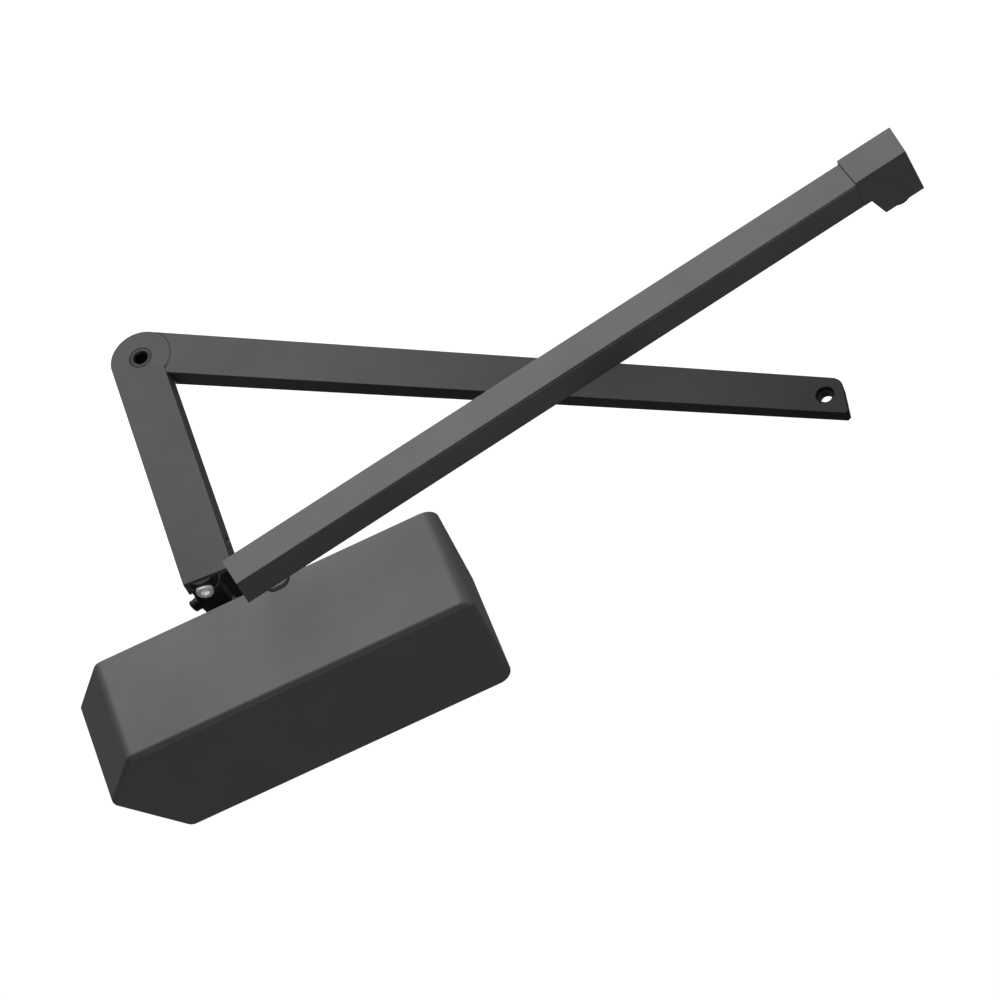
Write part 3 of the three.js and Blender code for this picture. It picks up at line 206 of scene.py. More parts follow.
class RailSizes(bpy.types.PropertyGroup):
    """The stay rail, its end block and its bracket."""
    wall: length("Wall", "Thickness of the rail's sides", 2.6)
    roof: length("Roof", "Thickness of the rail's top", 3)
    lip: length("Lip", "Thickness of the rail's lips", 3)
    slot: length("Slot", "Width of the slot under the rail", 13.4)
    width: length("Width", "Width of the rail", 28)
    corner: length("Corner", "Rounding of the rail's edges", 1.1)
    groove: length("Groove", "Width of the shadow groove under the rail's top edge", 0.9)
    groove_depth: length("Groove depth", "Depth of that groove", 0.7)
    block_length: length("Block length", "Length of the end block along its top", 49.3)
    block_step: length("Block step", "Block's end to the start of its sloped shoulder", 8)
    block_foot: length("Block foot", "Block's end to its foot", 16.5)
    block_tongue: length("Block tongue", "Length of the tongue inside the rail", 16)
    block_lean: length("Block lean", "Far end's foot beyond its top", 5.7)
    block_skew: FloatProperty(
        name="Block skew", description="Turn of the far end", default=math.radians(6), unit="ROTATION")
    block_edge: length("Block edge", "Rounding of the end block's edges", 0.8)
    bracket_width: length("Bracket width", "Width of the bent bracket", 24)
    bracket_sheet: length("Bracket sheet", "Thickness of the bent bracket", 5)
    pin_hole: length("Pin hole", "Radius of the holes for the rail's pins", 4.3)
    screw_hole: length("Screw hole", "Radius of the end block's screw holes", 2.2)


class Finishes(bpy.types.PropertyGroup):
    """Colours and gloss."""
    paint: colour("Paint", "Colour of the powder coat", (0.082, 0.084, 0.088))
    arm_paint: colour("Arm paint", "Colour of the arms' powder coat", (0.056, 0.0575, 0.06))
    # painted shade: the share of the arm's colour left at the forearm's tip, standing in for shade there
    fade: share("Fade", "Tone of the forearm's coat at its far end", 0.09)
    paint_gloss: share("Paint roughness", "Roughness of the powder coat", 0.52)
    casting: colour("Casting", "Colour of the painted casting", (0.035, 0.036, 0.038))
    black_steel: colour("Black steel", "Colour of blackened steel", (0.03, 0.03, 0.032))
    zinc: colour("Zinc", "Colour of zinc plate", (0.85, 0.86, 0.87))
    steel: colour("Steel", "Colour of ground steel", (0.42, 0.43, 0.44))
    spring: colour("Spring", "Colour of spring steel", (0.2, 0.21, 0.22))
    bronze: colour("Bronze", "Colour of the bearings", (0.42, 0.24, 0.09))
    rubber: colour("Rubber", "Colour of seals and buffers", (0.012, 0.012, 0.012))
    nylon: colour("Nylon", "Colour of the shoe and plug", (0.02, 0.02, 0.022))
    wear: share("Wear", "How far the paint is rubbed on edges", 0.3)


class StageSizes(bpy.types.PropertyGroup):
    """Floor, lights and camera."""
    floor_gap: length("Floor gap", "Space between the lowest point and the floor", 3)
    floor_half: length("Floor half", "Half the floor's side", 12000)
    key_power: power("Key", "Power of the light behind", 10)
    soft_power: power("Soft key", "Its share that casts no shadow", 97)
    fill_power: power("Fill", "Power of the light in front", 11.5)
    rim_power: power("Rim", "Power of the light at the right", 9)
    sky: share("Sky", "Brightness of the surroundings", 0.09)
    lens: FloatProperty(name="Lens", description="Focal length", default=144.005, unit="CAMERA")


class DoorCloserSettings(bpy.types.PropertyGroup):
    """All sizes and colours."""
    cover: PointerProperty(type=CoverSizes)
    body: PointerProperty(type=BodySizes)
    arm: PointerProperty(type=ArmSizes)
    hub: PointerProperty(type=HubSizes)
    rail: PointerProperty(type=RailSizes)
    finish: PointerProperty(type=Finishes)
    stage: PointerProperty(type=StageSizes)
    round_sides: IntProperty(name="Round sides", description="Sides of a round face", default=64, min=16)


def settings():
    return bpy.context.scene.door_closer


# ------------------------------------------------------------------ mesh tools
def rounded_loop(corners, radii, steps=8):
    """A closed outline, counter-clockwise, with each corner rounded by its own radius."""
    points = []
    for i, (corner, radius) in enumerate(zip(corners, radii)):
        here = Vector(corner)
        before = (Vector(corners[i - 1]) - here).normalized()
        after = (Vector(corners[(i + 1) % len(corners)]) - here).normalized()
        if radius == 0:
            points.append(here)
            continue
        half = before.angle(after) / 2
        centre = here + (before + after).normalized() * (radius / math.sin(half))
        start = here + before * (radius / math.tan(half)) - centre
        end = here + after * (radius / math.tan(half)) - centre
        turn = start.angle_signed(end)
        for step in range(steps + 1):
            points.append(centre + Matrix.Rotation(-turn * step / steps, 2) @ start)
    return points


def arc(centre, radius, start, end, steps):
    """Points on an arc between two angles in degrees."""
    turns = [math.radians(start + (end - start) * i / steps) for i in range(steps + 1)]
    return [Vector((centre[0] + radius * math.cos(t), centre[1] + radius * math.sin(t))) for t in turns]


def inset_loop(points, distance):
    """A counter-clockwise outline with every edge moved inwards."""
    moved = []
    for i, here in enumerate(points):
        before = (here - points[i - 1]).normalized()
        after = (points[(i + 1) % len(points)] - here).normalized()
        first = Vector((-before.y, before.x))
        second = Vector((-after.y, after.x))
        moved.append(here + (first + second) * (distance / (1 + first.dot(second))))
    return moved


def loft(rings):
    """A closed solid through rings that all have the same number of points."""
    bm = bmesh.new()
    rows = [[bm.verts.new(point) for point in ring] for ring in rings]
    for low, high in zip(rows, rows[1:]):
        for i in range(len(low)):
            j = (i + 1) % len(low)
            bm.faces.new((low[i], low[j], high[j], high[i]))
    bm.faces.new(reversed(rows[0]))
    bm.faces.new(rows[-1])
    bmesh.ops.recalc_face_normals(bm, faces=bm.faces)
    return bm


def level(points, z):
    return [Vector((p.x, p.y, z)) for p in points]


def prism(points, low, high):
    """A flat outline raised from one level to another."""
    return loft([level(points, low), level(points, high)])


def crowned(points, low, high, crown, steps=6):
    """The same with a rounded upper edge. low may be a function of the point."""
    floor = low if callable(low) else lambda p: low
    rings = [[Vector((p.x, p.y, floor(p))) for p in points]]
    for step in range(steps + 1):
        turn = math.pi / 2 * step / steps
        ring = inset_loop(points, crown * (1 - math.cos(turn)))
        rings.append(level(ring, high - crown + crown * math.sin(turn)))
    return loft(rings)


def lathe(profile, sides=None):
    """A solid of revolution about Z. The profile runs from the axis, or closes on itself."""
    count = sides or settings().round_sides
    bm = bmesh.new()
    rows = []
    for radius, height in profile:
        if radius == 0:
            rows.append([bm.verts.new((0, 0, height))])
            continue
        turns = [2 * math.pi * i / count for i in range(count)]
        rows.append([bm.verts.new((radius * math.cos(t), radius * math.sin(t), height)) for t in turns])
    hollow = profile[0][0] > 0
    pairs = list(zip(rows, rows[1:])) + ([(rows[-1], rows[0])] if hollow else [])
    for low, high in pairs:
        for i in range(count):
            j = (i + 1) % count
            corners = [low[0] if len(low) == 1 else low[i]]
            if len(low) > 1:
                corners.append(low[j])
            corners.append(high[0] if len(high) == 1 else high[j])
            if len(high) > 1:
                corners.append(high[i])
            bm.faces.new(corners)
    bmesh.ops.recalc_face_normals(bm, faces=bm.faces)
    return bm


def cylinder(radius, low, high, sides=None):
    return lathe([(0, low), (radius, low), (radius, high), (0, high)], sides)


def rod(radius, low, high, foot=0.0, head=0.0, sides=None):
    """A round bar with a chamfer at its foot, its head or both."""
    lower = [(radius - foot, low), (radius, low + foot)] if foot else [(radius, low)]
    upper = [(radius, high - head), (radius - head, high)] if head else [(radius, high)]
    return lathe([(0, low), *lower, *upper, (0, high)], sides)


def bar_along_x(section, start, end):
    """A bar with a section given in Y and Z."""
    return loft([[Vector((x, p.x, p.y)) for p in section] for x in (start, end)])


def box(low, high):
    corners = [(low[0], low[1]), (high[0], low[1]), (high[0], high[1]), (low[0], high[1])]
    return prism([Vector(corner) for corner in corners], low[2], high[2])


def polygon_loop(radius, sides, turn=0):
    turns = [turn + 2 * math.pi * i / sides for i in range(sides)]
    return [Vector((radius * math.cos(t), radius * math.sin(t))) for t in turns]


def moved(bm, matrix):
    bm.transform(matrix)
    return bm


def upright(bm, point):
    """Stands a piece made about Z over a point."""
    return moved(bm, Matrix.Translation((point.x, point.y, 0)))


def place(origin, direction=UP):
    """A matrix that stands a piece made along +Z at a point, pointing a given way."""
    turn = Vector(direction).to_track_quat("Z", "Y").to_matrix().to_4x4()
    if Vector(direction).normalized() == UP:
        turn = Matrix.Identity(4)
    return Matrix.Translation(origin) @ turn


def new_object(name, bm):
    mesh = bpy.data.meshes.new(name)
    bm.to_mesh(mesh)
    bm.free()
    made = bpy.data.objects.new(name, mesh)
    bpy.context.scene.collection.objects.link(made)
    return made


def combine(bm, operation, tools):
    """Cuts tools from a solid, or joins them to it, and gives the result as a new bmesh."""
    target = new_object("target", bm)
    helpers = [new_object("tool", tool) for tool in tools]
    for helper in helpers:
        step = target.modifiers.new("step", "BOOLEAN")
        step.operation = operation
        step.solver = "EXACT"
        step.object = helper
    bpy.context.view_layer.update()
    result = bmesh.new()
    result.from_object(target, bpy.context.evaluated_depsgraph_get())
    for spare in [target, *helpers]:
        mesh = spare.data
        bpy.data.objects.remove(spare)
        bpy.data.meshes.remove(mesh)
    bmesh.ops.remove_doubles(result, verts=result.verts, dist=0.004 * MM)
    bmesh.ops.dissolve_limit(result, angle_limit=math.radians(0.3), verts=result.verts, edges=result.edges)
    return result


def cut(bm, *tools):
    return combine(bm, "DIFFERENCE", tools)


def join(bm, *tools):
    return combine(bm, "UNION", tools)


def piece_for(node, bm, slot, material=None, name=None, edge=GAP, segments=2, limit=38):
    """Makes the finished piece: its edges are rounded, and it rides with the node it stands for."""
    piece = new_object(name or node + "_made", bm)
    piece.data.materials.append(material or finish_for(slot))
    piece.data.shade_smooth()
    if edge > 0:
        rounding = piece.modifiers.new("rounding", "BEVEL")
        rounding.width = edge
        rounding.segments = segments
        rounding.limit_method = "ANGLE"
        rounding.angle_limit = math.radians(limit)
        rounding.use_clamp_overlap = False
        rounding.miter_outer = "MITER_ARC"
    flat = piece.modifiers.new("flat faces", "WEIGHTED_NORMAL")
    flat.keep_sharp = False
    flat.weight = 80
    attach(piece, frame["nodes"][node]["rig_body"])
    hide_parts(node)
    return piece


def span(node, direction):
    """Where a node starts and ends along a direction, its middle line, and its largest radius about it."""
    axis = Vector(direction).normalized()
    points = np.array([v.co for v in frame["nodes"][node].data.vertices])
    along = points @ np.array(axis)
    side = UP if abs(axis.z) < 0.9 else ALONG
    side = (side - axis * side.dot(axis)).normalized()
    other = axis.cross(side)
    across = [points @ np.array(side), points @ np.array(other)]
    middle = [(values.min() + values.max()) / 2 for values in across]
    radius = float(np.hypot(across[0] - middle[0], across[1] - middle[1]).max())
    start = axis * float(along.min()) + side * float(middle[0]) + other * float(middle[1])
    return start, float(along.max() - along.min()), radius


def joint_point(name):
    return Vector(JOINTS[name]["pos_m"])


def flat_heading(start, end):
    return math.atan2(end.y - start.y, end.x - start.x)


def box_middle(node):
    low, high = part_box(node)
    return (low + high) / 2


# ------------------------------------------------------------------ shader groups
def node_group(name, inputs, outputs):
    """A new shader node group with float sockets in and out."""
    tree = bpy.data.node_groups.new(name, "ShaderNodeTree")
    for label, value in inputs.items():
        socket = tree.interface.new_socket(name=label, in_out="INPUT", socket_type="NodeSocketFloat")
        socket.default_value = value
    for label in outputs:
        tree.interface.new_socket(name=label, in_out="OUTPUT", socket_type="NodeSocketFloat")
    return tree, tree.nodes.new("NodeGroupInput"), tree.nodes.new("NodeGroupOutput")


def add_node(tree, kind, links=None, **values):
    """A node with its properties set and its inputs linked or given values."""
    node = tree.nodes.new(kind)
    for key, value in values.items():
        setattr(node, key, value)
    for key, source in (links or {}).items():
        if isinstance(source, bpy.types.NodeSocket):
            tree.links.new(source, node.inputs[key])
        else:
            node.inputs[key].default_value = source
    return node


def spread(tree, value, low, high, to_low, to_high):
    """Maps a value from one range to another."""
    node = add_node(tree, "ShaderNodeMapRange", {
        "Value": value, "From Min": low, "From Max": high, "To Min": to_low, "To Max": to_high})
    return node.outputs["Result"]


def math_node(tree, operation, first, second):
    return add_node(tree, "ShaderNodeMath", {0: first, 1: second}, operation=operation).outputs[0]


def grain_group():
    """Fine pebbled grain, broad cloudy variation and the two mixed as a height."""
    scales = {"Scale": 900.0, "Cloud scale": 14.0}
    tree, given, out = node_group("Grain", scales, ("Height", "Cloud", "Speck"))
    place_of = add_node(tree, "ShaderNodeTexCoord").outputs["Object"]
    fine = add_node(tree, "ShaderNodeTexNoise", {
        "Vector": place_of, "Scale": given.outputs["Scale"], "Detail": 3.0, "Roughness": 0.55})
    pebbles = add_node(tree, "ShaderNodeTexVoronoi", {
        "Vector": place_of, "Scale": given.outputs["Scale"]}, feature="SMOOTH_F1")
    cloud = add_node(tree, "ShaderNodeTexNoise", {
        "Vector": place_of, "Scale": given.outputs["Cloud scale"], "Detail": 4.0, "Roughness": 0.6})
    softened = math_node(tree, "MULTIPLY", pebbles.outputs["Distance"], 0.6)
    mixed = math_node(tree, "ADD", fine.outputs["Fac"], softened)
    tree.links.new(mixed, out.inputs["Height"])
    tree.links.new(spread(tree, cloud.outputs["Fac"], 0.3, 0.7, 0.0, 1.0), out.inputs["Cloud"])
    tree.links.new(spread(tree, fine.outputs["Fac"], 0.35, 0.65, 0.0, 1.0), out.inputs["Speck"])
    return tree


def wear_group():
    """A mask of edges rubbed by hands and tools, broken up by noise."""
    tree, given, out = node_group("Edge wear", {"Amount": 0.3, "Scale": 60.0}, ("Mask",))
    place_of = add_node(tree, "ShaderNodeTexCoord").outputs["Object"]
    edges = add_node(tree, "ShaderNodeNewGeometry").outputs["Pointiness"]
    broken = add_node(tree, "ShaderNodeTexNoise", {
        "Vector": place_of, "Scale": given.outputs["Scale"], "Detail": 5.0, "Roughness": 0.7})
    rim = spread(tree, edges, 0.52, 0.62, 0.0, 1.0)
    patch = spread(tree, broken.outputs["Fac"], 0.45, 0.75, 0.0, 1.0)
    mask = math_node(tree, "MULTIPLY", math_node(tree, "MULTIPLY", rim, patch), given.outputs["Amount"])
    tree.links.new(mask, out.inputs["Mask"])
    return tree


def brush_group():
    """Long fine scratches along one axis, as turning or grinding leaves them."""
    tree, given, out = node_group("Brush marks", {"Scale": 500.0, "Stretch": 0.04}, ("Height", "Streak"))
    place_of = add_node(tree, "ShaderNodeTexCoord").outputs["Object"]
    short = given.outputs["Stretch"]
    stretch = add_node(tree, "ShaderNodeCombineXYZ", {"X": short, "Y": short, "Z": 1.0}).outputs[0]
    squeezed = add_node(tree, "ShaderNodeVectorMath", {0: place_of, 1: stretch}, operation="MULTIPLY")
    marks = add_node(tree, "ShaderNodeTexNoise", {
        "Vector": squeezed.outputs[0], "Scale": given.outputs["Scale"], "Detail": 4.0, "Roughness": 0.7})
    tree.links.new(marks.outputs["Fac"], out.inputs["Height"])
    tree.links.new(spread(tree, marks.outputs["Fac"], 0.35, 0.65, 0.0, 1.0), out.inputs["Streak"])
    return tree


GROUPS = {"Grain": grain_group, "Edge wear": wear_group, "Brush marks": brush_group}


def group_node(tree, name, **values):
    """Places a shared effect in a material, building it the first time."""
    node = tree.nodes.new("ShaderNodeGroup")
    node.node_tree = bpy.data.node_groups.get(name) or GROUPS[name]()
    for key, value in values.items():
        node.inputs[key.replace("_", " ")].default_value = value
    return node


def shaded(tree, base, darker, factor):
    """Mixes a colour with a darker or lighter share of itself."""
    mix = tree.nodes.new("ShaderNodeMix")
    mix.data_type = "RGBA"
    mix.inputs["A"].default_value = (*base, 1)
    mix.inputs["B"].default_value = (*[channel * darker for channel in base], 1)
    tree.links.new(factor, mix.inputs["Factor"])
    return mix.outputs["Result"]


def toned(tree, first, second, factor):
    """Mixes a linked colour with a plain one."""
    mix = tree.nodes.new("ShaderNodeMix")
    mix.data_type = "RGBA"
    mix.inputs["B"].default_value = (*second, 1)
    tree.links.new(first, mix.inputs["A"])
    tree.links.new(factor, mix.inputs["Factor"])
    return mix.outputs["Result"]


def blank_material(name):
    material = bpy.data.materials.new(name)
    material.use_nodes = True
    return material, material.node_tree, material.node_tree.nodes["Principled BSDF"]


def bump(tree, shader, height, strength, distance):
    node = add_node(tree, "ShaderNodeBump", {"Height": height, "Strength": strength, "Distance": distance})
    tree.links.new(node.outputs["Normal"], shader.inputs["Normal"])


def coated(name, base, roughness, grain, depth, wear, shine=0.5, fade=None):
    """Paint or another skin with grain, cloudy tone and rubbed edges. fade paints shade that darkens it along
    X.
    """
    material, tree, shader = blank_material(name)
    texture = group_node(tree, "Grain", Scale=grain)
    rubbed = group_node(tree, "Edge wear", Amount=wear)
    tone = shaded(tree, base, 0.86, texture.outputs["Cloud"])
    speckled = toned(tree, tone, [channel * 1.25 for channel in base],
                     spread(tree, texture.outputs["Speck"], 0.0, 1.0, 0.0, 0.22))
    worn = toned(tree, speckled, [min(1, channel * 2.1 + 0.02) for channel in base], rubbed.outputs["Mask"])
    # painted shade: the coat is darkened along X, towards the forearm's tip, in place of the shade that falls
    # on its top there
    if fade:
        start, end, darkest_painted_shade = fade
        place_of = add_node(tree, "ShaderNodeTexCoord").outputs["Object"]
        along = add_node(tree, "ShaderNodeSeparateXYZ", {"Vector": place_of}).outputs["X"]
        painted_shade_factor = spread(tree, along, start, end, 0.0, 1.0)
        worn = toned(tree, worn, [channel * darkest_painted_shade for channel in base], painted_shade_factor)
    tree.links.new(worn, shader.inputs["Base Color"])
    rough = spread(tree, texture.outputs["Cloud"], 0.0, 1.0, roughness - 0.03, roughness + 0.05)
    tree.links.new(rough, shader.inputs["Roughness"])
    shader.inputs["Specular IOR Level"].default_value = shine
    bump(tree, shader, texture.outputs["Height"], 0.35, depth)
    return material


def metal(name, base, roughness, streaks, metallic=1.0):
    """Bare, plated or blackened metal with tool marks and a cloudy tone."""
    material, tree, shader = blank_material(name)
    marks = group_node(tree, "Brush marks", Scale=streaks)
    texture = group_node(tree, "Grain", Scale=300.0, Cloud_scale=60.0)
    tone = shaded(tree, base, 0.72, texture.outputs["Cloud"])
    streaked = toned(tree, tone, [min(1, channel * 1.2) for channel in base],
                     spread(tree, marks.outputs["Streak"], 0.0, 1.0, 0.0, 0.4))
    tree.links.new(streaked, shader.inputs["Base Color"])
    rough = spread(tree, marks.outputs["Streak"], 0.0, 1.0, roughness - 0.06, roughness + 0.1)
    tree.links.new(rough, shader.inputs["Roughness"])
    shader.inputs["Metallic"].default_value = metallic
    bump(tree, shader, marks.outputs["Height"], 0.2, 0.03 * MM)
    return material


def paint_material():
    finish = settings().finish
    return coated("powder coat", finish.paint, finish.paint_gloss, 1100.0, 0.06 * MM, finish.wear)


def arm_material(name="arm coat", fade=None):
    finish = settings().finish
    return coated(name, finish.arm_paint, finish.paint_gloss, 1500.0, 0.05 * MM, finish.wear, 0.25, fade)


def forearm_material():
    """The arm's coat with painted shade, darker from the elbow to the tip."""
    low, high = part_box("forearm")
    return arm_material("forearm coat with painted shade", (low.x + 60 * MM, high.x, settings().finish.fade))


def casting_material():
    finish = settings().finish
    return coated("painted casting", finish.casting, 0.6, 420.0, 0.14 * MM, finish.wear)


def rubber_material():
    return coated("rubber", settings().finish.rubber, 0.8, 1500.0, 0.03 * MM, 0.0, 0.3)


def nylon_material():
    return coated("nylon", settings().finish.nylon, 0.45, 700.0, 0.03 * MM, 0.1)


def black_steel_material():
    return metal("blackened steel", settings().finish.black_steel, 0.36, 700.0, 0.6)


def zinc_material():
    return metal("zinc plate", settings().finish.zinc, 0.24, 900.0, 0.35)


def steel_material():
    return metal("ground steel", settings().finish.steel, 0.3, 1200.0)


def spring_material():
    return metal("spring steel", settings().finish.spring, 0.34, 600.0)


def bronze_material():
    return metal("bronze", settings().finish.bronze, 0.36, 800.0)


MATERIALS = {
    "black_paint": ("powder coat", paint_material),
    "cast_paint": ("painted casting", casting_material),
    "dark_steel": ("blackened steel", black_steel_material),
    "zinc": ("zinc plate", zinc_material),
    "spring_steel": ("spring steel", spring_material),
    "bright_steel": ("ground steel", steel_material),
    "bronze": ("bronze", bronze_material),
    "rubber": ("rubber", rubber_material),
    "nylon": ("nylon", nylon_material),
}


def finish_for(slot):
    """The material for one of the record's slots, made once."""
    name, make = MATERIALS[slot]
    return bpy.data.materials.get(name) or make()


# ------------------------------------------------------------------ small hardware
def screw_body(shank, shank_length, head, head_height, recess):
    """A screw with its head's underside at 0, head upwards. recess is cross or hex."""
    dome = [
        (0, -shank_length), (shank * 0.7, -shank_length), (shank, -shank_length + shank * 0.5), (shank, 0),
        (head, 0), (head, head_height * 0.42), (head * 0.93, head_height * 0.72),
        (head * 0.72, head_height * 0.93), (head * 0.4, head_height), (0, head_height),
    ]
    body = lathe(dome, SCREW_SIDES)
    deep, clear = head_height * 0.45, head_height * 2
    if recess == "hex":
        return cut(body, prism(polygon_loop(head * 0.5, 6), deep, clear))
    arm, half = head * 0.52, head * 0.1
    cross = [box((-x, -y, deep), (x, y, clear)) for x, y in ((arm, half), (half, arm))]
    return cut(body, *cross)


def screw_piece(node, direction, slot, shank, head_height, recess="cross"):
    """A screw that stands for a node, lying along a direction from its tip to its head."""
    start, long, head = span(node, direction)
    axis = Vector(direction).normalized()
    body = screw_body(shank, long - head_height, head * 0.98, head_height, recess)
    seat = start + axis * (long - head_height)
    return piece_for(node, moved(body, place(seat, axis)), slot, edge=0.12 * MM)


def keep_nodes(*nodes):
    """CAD pieces whose shape is right get their finish."""
    slots = {row["node"]: row["material_slot"] for row in frame["record"]["subparts"]}
    for node in nodes:
        held = frame["nodes"][node]
        held.data.materials.clear()
        held.data.materials.append(finish_for(slots[node]))


# ------------------------------------------------------------------ cover
def build_cover():
    size = settings().cover
    low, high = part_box("cover")
    rear, front, top, right = high.y, low.y, high.z, high.x
    left = right - size.top_length
    corners = [
        (left, top), (left - size.nose_reach, top - size.nose_drop), (left + size.toe_in, low.z),
        (right, low.z), (right, top)]
    outline = rounded_loop(corners, [size.nose_radius] * 3 + [size.end_radius] * 2, 12)

    def ring(inset, y):
        return [Vector((p.x, y, p.y)) for p in inset_loop(outline, inset)]

    def rim(radius, inset, y, turn):
        """The ring that a rim of some radius has at a turn."""
        return ring(inset + radius * (1 - math.cos(turn)), y + radius * (1 - math.sin(turn)))

    steps = 10
    quarter = [math.pi / 2 * step / steps for step in range(steps + 1)]
    curl = size.rear_rounding
    rings = [rim(size.front_radius, 0, front, turn) for turn in reversed(quarter)]
    for turn in (0, 30, 60, 90):
        angle = math.radians(turn)
        rings.append(ring(curl * (1 - math.cos(angle)), rear - curl + curl * math.sin(angle)))
    rings.append(ring(size.wall, rear))
    rings += [rim(size.front_radius - size.wall, size.wall, front + size.wall, turn) for turn in quarter]
    holes = []
    for node in ("cover_screw_1", "cover_screw_2"):
        middle = box_middle(node)
        holes.append(moved(cylinder(size.screw_hole, -OVER, size.wall + OVER, PLATE_SIDES),
                           Matrix.Translation((middle.x, middle.y, low.z))))
    piece_for("cover", cut(loft(rings), *holes), "black_paint", name="cover_shell", edge=0)


# ------------------------------------------------------------------ body
def door_hole(node, radius, low, high, sides):
    """A hole square to the door at a node's middle."""
    middle = box_middle(node)
    return moved(cylinder(radius, low, high, sides), place((middle.x, 0, middle.z), (0, -1, 0)))


def build_plate():
    size = settings().body
    low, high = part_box("back_plate")
    thick = high.y - low.y
    shoulder, corner = low.z + size.plate_height, size.plate_corner
    corners = [
        (low.x, low.z), (high.x, low.z), (high.x, shoulder), (size.tab_right, shoulder),
        (size.tab_right, high.z), (size.tab_left, high.z), (size.tab_left, shoulder), (low.x, shoulder)]
    radii = [corner, corner, corner, 0, corner, corner, 0, corner]
    sheet = moved(prism(rounded_loop(corners, radii), 0, thick), Matrix.Rotation(math.pi / 2, 4, "X"))
    tools = []
    for side in (-1, 1):
        for upper in (-1, 1):
            sink = lathe([(0, -thick), (size.door_hole, -thick), (size.door_hole, thick * 0.35),
                          (size.door_sink, thick + OVER), (0, thick + OVER)], PLATE_SIDES)
            spot = (side * size.door_hole_x, 0, upper * size.door_hole_z)
            tools.append(moved(sink, place(spot, (0, -1, 0))))
    for number in range(1, 5):
        tools.append(door_hole(f"mounting_screw_{number}", size.screw_hole, -thick, 2 * thick, PLATE_SIDES))
    piece_for("back_plate", cut(sheet, *tools), "cast_paint", edge=0.5 * MM)


def build_casting():
    size = settings().body
    low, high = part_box("body_casting")
    rear, front, half = high.y, low.y, size.barrel_height / 2
    spindle = joint_point("spindle_swing")
    corners = [(front, -half), (rear, -half), (rear, half), (front, half)]
    section = rounded_loop(corners, [size.barrel_corner, 2 * MM, 2 * MM, size.barrel_corner], 10)
    barrel = bar_along_x(section, -size.barrel_half, size.barrel_half)
    boss = upright(cylinder(size.boss, half - OVER, high.z), spindle)
    lugs = []
    for x0, x1 in ((low.x, -size.barrel_half + OVER), (size.barrel_half - OVER, high.x)):
        for z0, z1 in ((-half, -half + size.lug_height), (half - size.lug_height, half)):
            lugs.append(box((x0, rear - size.lug_thickness, z0), (x1, rear, z1)))
    body = join(barrel, boss, *lugs)
    bore_y = box_middle("closing_spring").y
    tools = [
        moved(cylinder(size.bore, -2 * size.barrel_half, 2 * size.barrel_half), place((0, bore_y, 0), ALONG)),
        upright(cylinder(size.chamber, -half - OVER, size.chamber_top), spindle),
        upright(cylinder(size.throat, 0, high.z + OVER), spindle),
    ]
    deep, valve_lead = 30 * MM, 4 * MM
    for name in VALVES:
        middle = box_middle(name)
        tools.append(moved(cylinder(size.valve_hole, 0, deep, HOLE_SIDES),
                           place((-size.barrel_half - valve_lead, middle.y, middle.z), ALONG)))
    for number in range(1, 5):
        tools.append(door_hole(f"mounting_screw_{number}", size.screw_hole, 0, deep, HOLE_SIDES))
    cover_hole = settings().cover.screw_hole
    for kind, end, radius, depth in (("bracket", 1, size.screw_hole, 14), ("cover", -1, cover_hole, 8)):
        ends = sorted((end * (half - depth * MM), end * (half + OVER)))
        for number in (1, 2):
            tools.append(upright(cylinder(radius, *ends, HOLE_SIDES), box_middle(f"{kind}_screw_{number}")))
    piece_for("body_casting", cut(body, *tools), "cast_paint", edge=0)


def build_plug(node, facing):
    """A cylinder plug with its hexagon flange facing outwards."""
    size = settings().body
    start, long, _ = span(node, (facing, 0, 0))
    inner = size.bore - GAP
    flange, seal_start, seal_end, seal_deep = 5 * MM, 5 * MM, 8.6 * MM, 3.2 * MM
    deep = long - flange
    body = lathe([
        (0, 0), (inner - MM, 0), (inner, MM), (inner, seal_start), (inner - seal_deep, seal_start),
        (inner - seal_deep, seal_end), (inner, seal_end), (inner, deep + 2 * GAP), (0, deep + 2 * GAP)])
    hexagon = crowned(polygon_loop(size.bore + 2.4 * MM, 6), deep + GAP, long, 1.2 * MM, 1)
    if facing > 0:
        socket = cylinder(6.3 * MM, -OVER, long + OVER, PLATE_SIDES)
    else:
        socket = prism(polygon_loop(7 * MM, 6), long - 3 * MM, long + OVER)
    plug = cut(join(body, hexagon), socket)
    piece_for(node, moved(plug, place(start, (facing, 0, 0))), "dark_steel", edge=0.25 * MM)


def build_plugs():
    build_plug("left_end_plug", -1)
    build_plug("right_end_plug", 1)


def build_adjuster():
    start, long, head = span("closing_force_adjuster", ALONG)
    neck, radius, socket, socket_deep = long - 6 * MM, 6 * MM, 3 * MM, 4 * MM
    shaft = rod(radius, 0, neck + OVER, foot=MM, sides=PLATE_SIDES)
    hexagon = crowned(polygon_loop(head, 6), neck, long, 0.9 * MM, 1)
    body = cut(join(shaft, hexagon), prism(polygon_loop(socket, 6), long - socket_deep, long + OVER))
    piece_for("closing_force_adjuster", moved(body, place(start, ALONG)), "zinc", edge=0.2 * MM)


def build_works():
    """The parts inside the casting keep their CAD shapes."""
    keep_nodes(
        "left_plug_seal", "right_plug_seal", "spring_seat", "closing_spring", "upper_bearing",
        "lower_bearing", "shaft_seal", "piston", "piston_ring_left", "piston_ring_right",
        "piston_check_valve")


